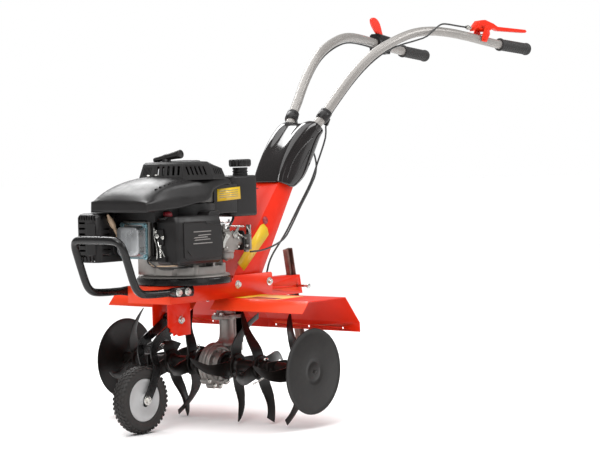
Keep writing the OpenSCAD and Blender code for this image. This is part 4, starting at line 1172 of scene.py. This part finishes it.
for t, w in ((0.0, 7), (0.12, 9), (0.28, 12), (0.48, 14.5), (0.68, 14.5), (0.84, 11.5), (0.95, 6.5),
             (1.0, 0)):
    rim_.append((t * 80, w, 5 * math.sin(math.pi * t)))
pts2 = [axis_ * t + perp * (w * 1.25 + c_) for t, w, c_ in rim_] + [axis_ * t + perp * (c_ - w * 1.25) for t,
                                                            w, c_ in reversed(rim_[:-1])]
fine = [(q.x, q.y) for q in smooth([(q.x, q.y, 0) for q in pts2], 4, closed=True)]
b.prism(fine, -4.5, 4.5, L)
b.prism([(x * 0.80 + 7, y * 0.80 - 7) for x, y in fine], -5.8, 5.8, L)
b.lathe([(0, -9), (7, -9), (7, 9), (0, 9)], L, 24)
b.make("throttle_leaf", "red_plastic", "throttle", ["throttle_lever"], bevel=1.4, segs=3, angle=40)

# ribbed grips
GA, GB = (-1176, 190.7, 1066.3), (-1325, 202, 1055)
prof = [(14.3, 0), (18.5, 0), (20.4, 1.5), (20.8, 5), (20.0, 8), (17.4, 10)]
for k in range(11):
    z = 13 + k * 11
    prof += [(17.0, z), (18.1, z + 1.4), (18.6, z + 4), (18.1, z + 7.2), (17.0, z + 8.8)]
prof += [(17.2, 136), (19.4, 138), (20.2, 142), (19.6, 147), (17, 150.4), (11, 152), (0, 152.4)]
for side_, name in ((1, "left"), (-1, "right")):
    a_, c_ = Vector((GA[0], GA[1] * side_, GA[2])), Vector((GB[0], GB[1] * side_, GB[2]))
    b = Build()
    b.lathe(prof, at(a_, c_ - a_), 40)
    b.make("handgrip_" + name, "grip_rubber", "chassis", ["grip_" + name], bevel=0.3, angle=50)

# cable adjuster and its nut below the clutch lever
b = Build()
m = at((-1018, 186, 1113), (0.96, 0.05, 0.06))
b.lathe([(2.9, -4), (4.2, -4), (4.2, 24), (2.9, 24)], m, 20, loop=True)
b.lathe([(3, -2), (6.6, -2), (6.6, 3), (3, 3)], m, 6)
b.lathe([(3, 8), (7.2, 8), (7.2, 14), (3, 14)], m, 16)
b.make("cable_adjuster", "zinc", bevel=0.3)

# strap clips holding the cables under the bars
b = Build()
for s in (-1, 1):
    p, q = Vector((-478, s * 72, 893)), Vector((-430, s * 60, 838))
    d = (p - q).normalized()
    c_ = q
    b.lathe([(14.2, -9), (18.2, -9), (19, -7.5), (19, 7.5), (18.2, 9), (14.2, 9)], at(c_, d), 36, loop=True)
    b.lathe([(14.2, 12), (17.6, 12), (18.0, 13), (18.0, 19), (17.6, 20), (14.2, 20)], at(c_, d), 36,
            loop=True)
b.make("strap_rings", "black_plastic", bevel=0.5)
# ------------------------------------------------------------------ gearbox
for side, tag in ((1, "left"), (-1, "right")):
    m = at((0, 0, 153), (0, side, 0), (1, 0, 0))
    b = Build()
    b.lathe([(12.8, 0.1), (45, 0.1), (58, 0.1), (60.5, 1.5), (60.5, 8.5), (59, 10.5), (54, 11.5), (53, 13),
             (52.5, 17.5),
             (50.5, 20), (47, 20.6), (45, 19.6), (44, 17.4), (38, 17.2), (34, 18.4), (32, 22), (31, 28),
             (29.5, 30.4),
             (24, 31), (23, 34), (22, 37.6), (12.8, 38)], m, 72, loop=True)
    for k in range(12):
        a_ = math.radians(30 * k + 15)
        c_, s_ = math.cos(a_), math.sin(a_)
        q = m @ Matrix(((c_, -s_, 0, 0), (s_, c_, 0, 0), (0, 0, 1, 0), (0, 0, 0, 1)))
        b.prism([(30, -1.8), (46, -1.5), (46, 1.5), (30, 1.8)], 16.8, 20.4, q)
    for a_ in range(238, 320, 26):
        a_ = math.radians(a_)
        p = (59 * math.cos(a_), 0, 153 + 59 * math.sin(a_))
        b.lathe([(3.2, 0.2), (9.4, 0.2), (9.4, 11.2), (8.4, 12), (3.2, 12)], at(p, (0, side, 0)), 24,
                loop=True)
    if side > 0:
        b.lathe([(13, -38), (23, -30), (20.5, -18), (20, 8), (21.5, 30), (25, 43), (25, 47), (13, 47)],
                at((-50, 0, 153), (0, 0, 1)), 36, loop=True)
    b.prism([(-97, 31), (-42, 31), (-42, 47), (-80, 47), (-80, 52), (-97, 52)], 0.2, 16.6,
            Matrix(((1, 0, 0, 0), (0, 0, side, 0), (0, 1, 0, 153), (0, 0, 0, 1))))
    b.make(f"gear_case_{tag}", "cast_alloy", "chassis", [f"gearbox_{tag}"], bevel=0.8, segs=2, angle=36)
b = Build()
b.lathe([(13, 200), (31, 200), (33, 202), (33, 208), (31, 211), (25, 216), (21.5, 226), (20.5, 240),
         (20, 270),
         (22, 276), (26, 280), (26, 288), (21, 291), (20, 300), (20, 341), (13, 341)], at((-50, 0, 0)), 44,
         loop=True)
b.prism(rrect(92, 44, 14), 277, 287, at((-50, 0, 0)))
b.prism(rrect(36, 34, 5), 205.4, 341, at((-83, 0, 0)))
for y in (-17, 11.5):
    b.box((-101.4, y, 206), (-64, y + 5.5, 340))
b.box((-70, -5.5, 206), (-34, 5.5, 333))
b.prism(rrect(106, 60, 10), 333.4, 340.8, at((-62, 0, 0)))
b.prism([(-24, 333), (-30, 291), (-30, 280), (-24, 276), (-8, 276), (-6, 282), (-12, 292), (-16, 333)], -4, 4,
        at((0, 0, 0), (0, -1, 0), (1, 0, 0)))
b.make("leg_casting", "cast_alloy", "chassis", ["gearbox_leg"], bevel=1.4, segs=3, angle=40)
b = Build()
for a_ in range(238, 320, 26):
    a_ = math.radians(a_)
    for s in (-1, 1):
        b.bolt((59 * math.cos(a_), s * 12, 153 + 59 * math.sin(a_)), (0, s, 0), 3.9, washer=True)
for y in (-11, 11):
    b.bolt((-17, y, 288.4), (0, 0, 1), 5.0)
b.bolt((-8, 31, 333), (0.3, 0, -1), 4.6)
b.bolt((-8, -31, 333), (0.3, 0, -1), 4.6)
b.make("gear_case_bolts", "zinc", "chassis", ["gearbox_bolts"], bevel=0.25)

# ------------------------------------------------------------------ bumper, bolts, flap, labels
half = [(178, 88.6, 372.5), (200, 88.6, 372.5), (222, 88.6, 372.6), (246, 88.6, 373), (268, 88.6, 374),
        (320, 88.6, 374.5),
        (356, 88.6, 376), (378, 88.6, 380), (394, 88.6, 392), (405, 88.6, 412), (416, 88.6, 440),
        (428, 88.6, 472),
        (437, 87.5, 495), (443, 82, 510), (447, 70, 517.5), (448, 50, 519.5), (448, 20, 520)]
path = half + [(x, -y, z) for x, y, z in reversed(half)]
b = Build()
pts = smooth(path, 6)
n = len(pts)
verts, faces = [], []
u = Vector((0, 0, 1))
for i, p in enumerate(pts):
    d = (pts[min(n - 1, i + 1)] - pts[max(0, i - 1)]).normalized()
    w = d.cross(u).normalized()
    u = w.cross(d).normalized()
    flat = 1.0
    if p.x < 250:
        flat = 0.52
    elif p.x < 275:
        flat = 0.52 + 0.48 * (p.x - 250) / 25
    rise = 1 + 0.32 * (1 - flat) / 0.48
    for j in range(24):
        t = 2 * math.pi * j / 24
        verts.append(p + u * (math.cos(t) * 10.3 * rise) + w * (math.sin(t) * 10.3 * flat)
                     + Vector((0, (-3.4 if p.y > 0 else 3.4) * (1 - flat) / 0.48, 0)))
for i in range(n - 1):
    for j in range(24):
        s = (j + 1) % 24
        faces.append((i * 24 + j, i * 24 + s, (i + 1) * 24 + s, (i + 1) * 24 + j))
faces += [tuple(reversed(range(24))), tuple(range((n - 1) * 24, n * 24))]
b.add(verts, [tuple(reversed(f_)) for f_ in faces])
b.make("bumper_hoop", "black_paint", "chassis", ["bumper_bar"], bevel=0.5, angle=50)

b = Build()
for s in (1, -1):
    for x, z in ((-13, 376), (-147, 376)):
        b.bolt((x, s * 78, z), (0, s, 0), 6.6)
    for x in (202, 237):
        b.bolt((x, s * 89.6, 372.5), (0, s, 0), 6.4)
    b.bolt((166, s * 29.2, 292), (0, s, 0), 6.4)
    for x in (-110, 10):
        for y in (92, 250):
            b.bolt((x, s * y, 338.4), (0, 0, -1), 4.2)
b.tube([(166, -30, 292), (166, 30, 292)], 5.9, 20)
b.make("frame_fixings", "zinc", "chassis", ["frame_bolts"], bevel=0.3)

b = Build()
poly = [(-131.5, 341), (-193, 268), (-195, 241), (-192.6, 241), (-190.6, 267), (-129.5, 338.6)]
b.prism(poly, -32.2, 32.2, at((0, 0, 0), (0, -1, 0), (1, 0, 0)))
b.make("rear_flap_middle", "red_paint", bevel=0.5)

b = Build()
b.lathe([(44, 387.2), (127, 387.2), (129, 388.6), (129, 402), (127.5, 405), (124, 406.4), (44, 406.4)],
        at((118, 0, 0)), 96, loop=True)
b.make("engine_plate", "black_paint", "chassis", ["engine_base"], bevel=0.5, angle=50)
b = Build()
b.lathe([(60, 406.6), (123.6, 406.6), (124.6, 408), (123.6, 411), (120, 412.4), (60, 412.4)],
        at((118, 0, 0)), 96, loop=True)
b.make("sump_flange", "cast_alloy", bevel=0.4)


def col_y(z):
    return 64.35 - 27 * (z - 380) / 360


b = Build()
for pts in ([(-34, 434), (-58, 411), (-176, 505), (-172, 524), (-158, 537), (-144, 533)],):
    n = len(pts)
    v_ = [(x, col_y(z) + o_, z) for o_ in (0.0, 0.5) for x, z in pts]
    b.add(v_, [tuple(reversed(range(n))), tuple(range(n, 2 * n))] + [(i, (i + 1) % n, n + (i + 1) % n,
                                                            n + i) for i in range(n)])
b.prism([(2, 62), (8, 112), (-112, 112), (-116, 62)], 341.0, 341.5)
b.make("frame_labels", "sticker", bevel=0)
b = Build()
b.prism([(8, 112), (10, 236), (-104, 236), (-112, 112)], 341.0, 341.5)
b.make("fender_label", "sticker_pale", bevel=0)
b = Build()
b.prism([(4, 128), (6, 226), (-30, 226), (-34, 128)], 341.2, 341.7)
b.make("fender_label_band", "hose_red", bevel=0)

b = Build()
pts = [(-166 + 11 * math.cos(k * math.pi / 12), 546 + 11 * math.sin(k * math.pi / 12)) for k in range(24)]
b.add([(x, col_y(z) + o_, z) for o_ in (0.0, 0.6) for x, z in pts],
      [tuple(reversed(range(24))), tuple(range(24, 48))] + [(i, (i + 1) % 24, 24 + (i + 1) % 24, 24 + i)
                                                            for i in range(24)])
b.make("frame_mark", "hose_red", bevel=0)

# ------------------------------------------------------------------ drive belt
CB, SB = 24 / 168, math.sqrt(1 - (24 / 168) ** 2)
A0 = math.degrees(math.atan2(SB, CB))


def belt_strip(b, path):
    """A flat-sided belt eight thick and nine deep along path, which holds the inner edge and the way out."""
    verts, faces = [], []
    for (x, y), (nx, ny) in path:
        for o_, z in ((0, 358.5), (8, 358.5), (8, 365.5), (6.8, 367.5), (1.2, 367.5), (0, 365.5)):
            verts.append((x + nx * o_, y + ny * o_, z))
    for i in range(len(path) - 1):
        for k in range(6):
            s = (k + 1) % 6
            faces.append((i * 6 + k, (i + 1) * 6 + k, (i + 1) * 6 + s, i * 6 + s))
    faces += [tuple(range(6)), tuple(reversed(range((len(path) - 1) * 6, len(path) * 6)))]
    b.add(verts, faces)


def ring(cx, r_, a0, a1, n):
    return [((cx + r_ * math.cos(math.radians(a0 + (a1 - a0) * k / n)),
              r_ * math.sin(math.radians(a0 + (a1 - a0) * k / n))),
             (math.cos(math.radians(a0 + (a1 - a0) * k / n)), math.sin(math.radians(a0 + (a1 - a0) * k / n))))
            for k in range(n + 1)]


big = ring(-50, 50.6, A0, 360 - A0, 48)
small = ring(118, 26.6, -A0, A0, 32)
p0, p1 = Vector(small[-1][0]), Vector(big[0][0])
nrm = (CB, SB)
run = [(tuple(p0.lerp(p1, k / 48)), nrm) for k in range(49)]
half_way = min(range(49), key=lambda k: abs(run[k][0][0] - 45))
b = Build()
belt_strip(b, big + small)
b.make("belt_round_pulleys", "belt_rubber", "chassis", ["drive_belt"], bevel=0)
for name, part, a_ in (("belt_run_front", run[:half_way + 1], 118), ("belt_run_rear", run[half_way:], -38)):
    b = Build()
    belt_strip(b, part)
    o = b.make(name, "belt_rubber", None, bevel=0)
    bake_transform(o)

# ------------------------------------------------------------------ bare CAD nodes with a finish of their own
MAT["stake_steel"] = surface("stake_steel", (0.20, 0.12, 0.10), 0.36, metal=0.7, vary=0.3, scale=30, bump=0.1)
stake = frame["nodes"]["depth_stake"]
stake.data.materials.clear()
stake.data.materials.append(MAT["stake_steel"])
# ------------------------------------------------------------------ floor, light, camera
def plain(name, colour, rough):
    m, nt, b = new_mat(name)
    co = nt.nodes.new("ShaderNodeTexCoord")
    n = noise(nt, co, 3.0)
    r = ramp(nt, n.outputs["Fac"], [(0.3, tuple(c * 0.985 for c in colour)), (0.7, colour)])
    nt.links.new(r.outputs["Color"], b.inputs["Base Color"])
    b.inputs["Roughness"].default_value = rough
    b.inputs["Specular IOR Level"].default_value = 0.1
    return m


bm = bmesh.new()
bmesh.ops.create_grid(bm, x_segments=2, y_segments=2, size=40)
me = D.meshes.new("floor")
bm.to_mesh(me)
bm.free()
floor = D.objects.new("floor", me)
scene.collection.objects.link(floor)
floor.location.z = -0.0005
floor.data.materials.append(plain("floor_white", (0.93, 0.93, 0.93), 0.8))

world = D.worlds.new("studio")
scene.world = world
world.use_nodes = True
wt = world.node_tree
bg = wt.nodes["Background"]
bg.inputs["Color"].default_value = (1, 1, 1, 1)
bg.inputs["Strength"].default_value = 0.36
seen = wt.nodes.new("ShaderNodeBackground")
seen.inputs["Color"].default_value = (1, 1, 1, 1)
seen.inputs["Strength"].default_value = 1.0
path = wt.nodes.new("ShaderNodeLightPath")
pick = wt.nodes.new("ShaderNodeMixShader")
wt.links.new(path.outputs["Is Camera Ray"], pick.inputs["Fac"])
wt.links.new(bg.outputs["Background"], pick.inputs[1])
wt.links.new(seen.outputs["Background"], pick.inputs[2])
wt.links.new(pick.outputs["Shader"], wt.nodes["World Output"].inputs["Surface"])


def area(name, loc, target, size, power, colour=(1, 1, 1)):
    l = D.lights.new(name, "AREA")
    l.shape = "RECTANGLE"
    l.size, l.size_y = size
    l.energy = power
    l.color = colour
    o = D.objects.new(name, l)
    scene.collection.objects.link(o)
    o.location = loc
    o.rotation_euler = (Vector(target) - Vector(loc)).to_track_quat("-Z", "Y").to_euler()
    return o


sun = D.lights.new("overhead", "SUN")
sun.energy = 2.5
sun.angle = math.radians(70)
sun_o = D.objects.new("overhead", sun)
scene.collection.objects.link(sun_o)
sun_o.rotation_euler = (math.radians(-8), math.radians(10), 0)
area("key", (3.0, 1.0, 2.6), (0.6, 0, 0.6), (1.2, 1.2), 40)
area("side", (0.6, 3.6, 1.5), (0, 0, 0.45), (1.8, 1.4), 9)
area("rim", (-0.6, -1.9, 2.7), (0.6, 0, 0.65), (1.5, 1.5), 62)
area("rim_left", (-1.4, 2.0, 2.3), (0.4, 0.1, 0.6), (1.2, 1.2), 30)
scene.view_settings.view_transform = "Standard"
scene.view_settings.look = "None"

a, e, roll = math.radians(129.2619857), math.radians(2.1669848), math.radians(-1.3554331)
back = Vector((math.sin(a) * math.cos(e), -math.cos(a) * math.cos(e), math.sin(e)))
v = -back
r = v.cross(Vector((0, 0, 1))).normalized()
u = r.cross(v)
r2 = math.cos(roll) * r + math.sin(roll) * u
u2 = -math.sin(roll) * r + math.cos(roll) * u
cam_data = D.cameras.new("camera")
cam = D.objects.new("camera", cam_data)
scene.collection.objects.link(cam)
loc = Vector((3.68397535 + AX, 3.32512943, 0.7216085))
cam.matrix_world = Matrix((
    (r2.x, u2.x, back.x, loc.x), (r2.y, u2.y, back.y, loc.y), (r2.z, u2.z, back.z, loc.z), (0, 0, 0, 1)))
cam_data.sensor_width = 36
cam_data.lens = 1793.0166 * 36 / 600
cam_data.clip_start, cam_data.clip_end = 0.1, 100
scene.camera = cam

bpy.context.view_layer.update()
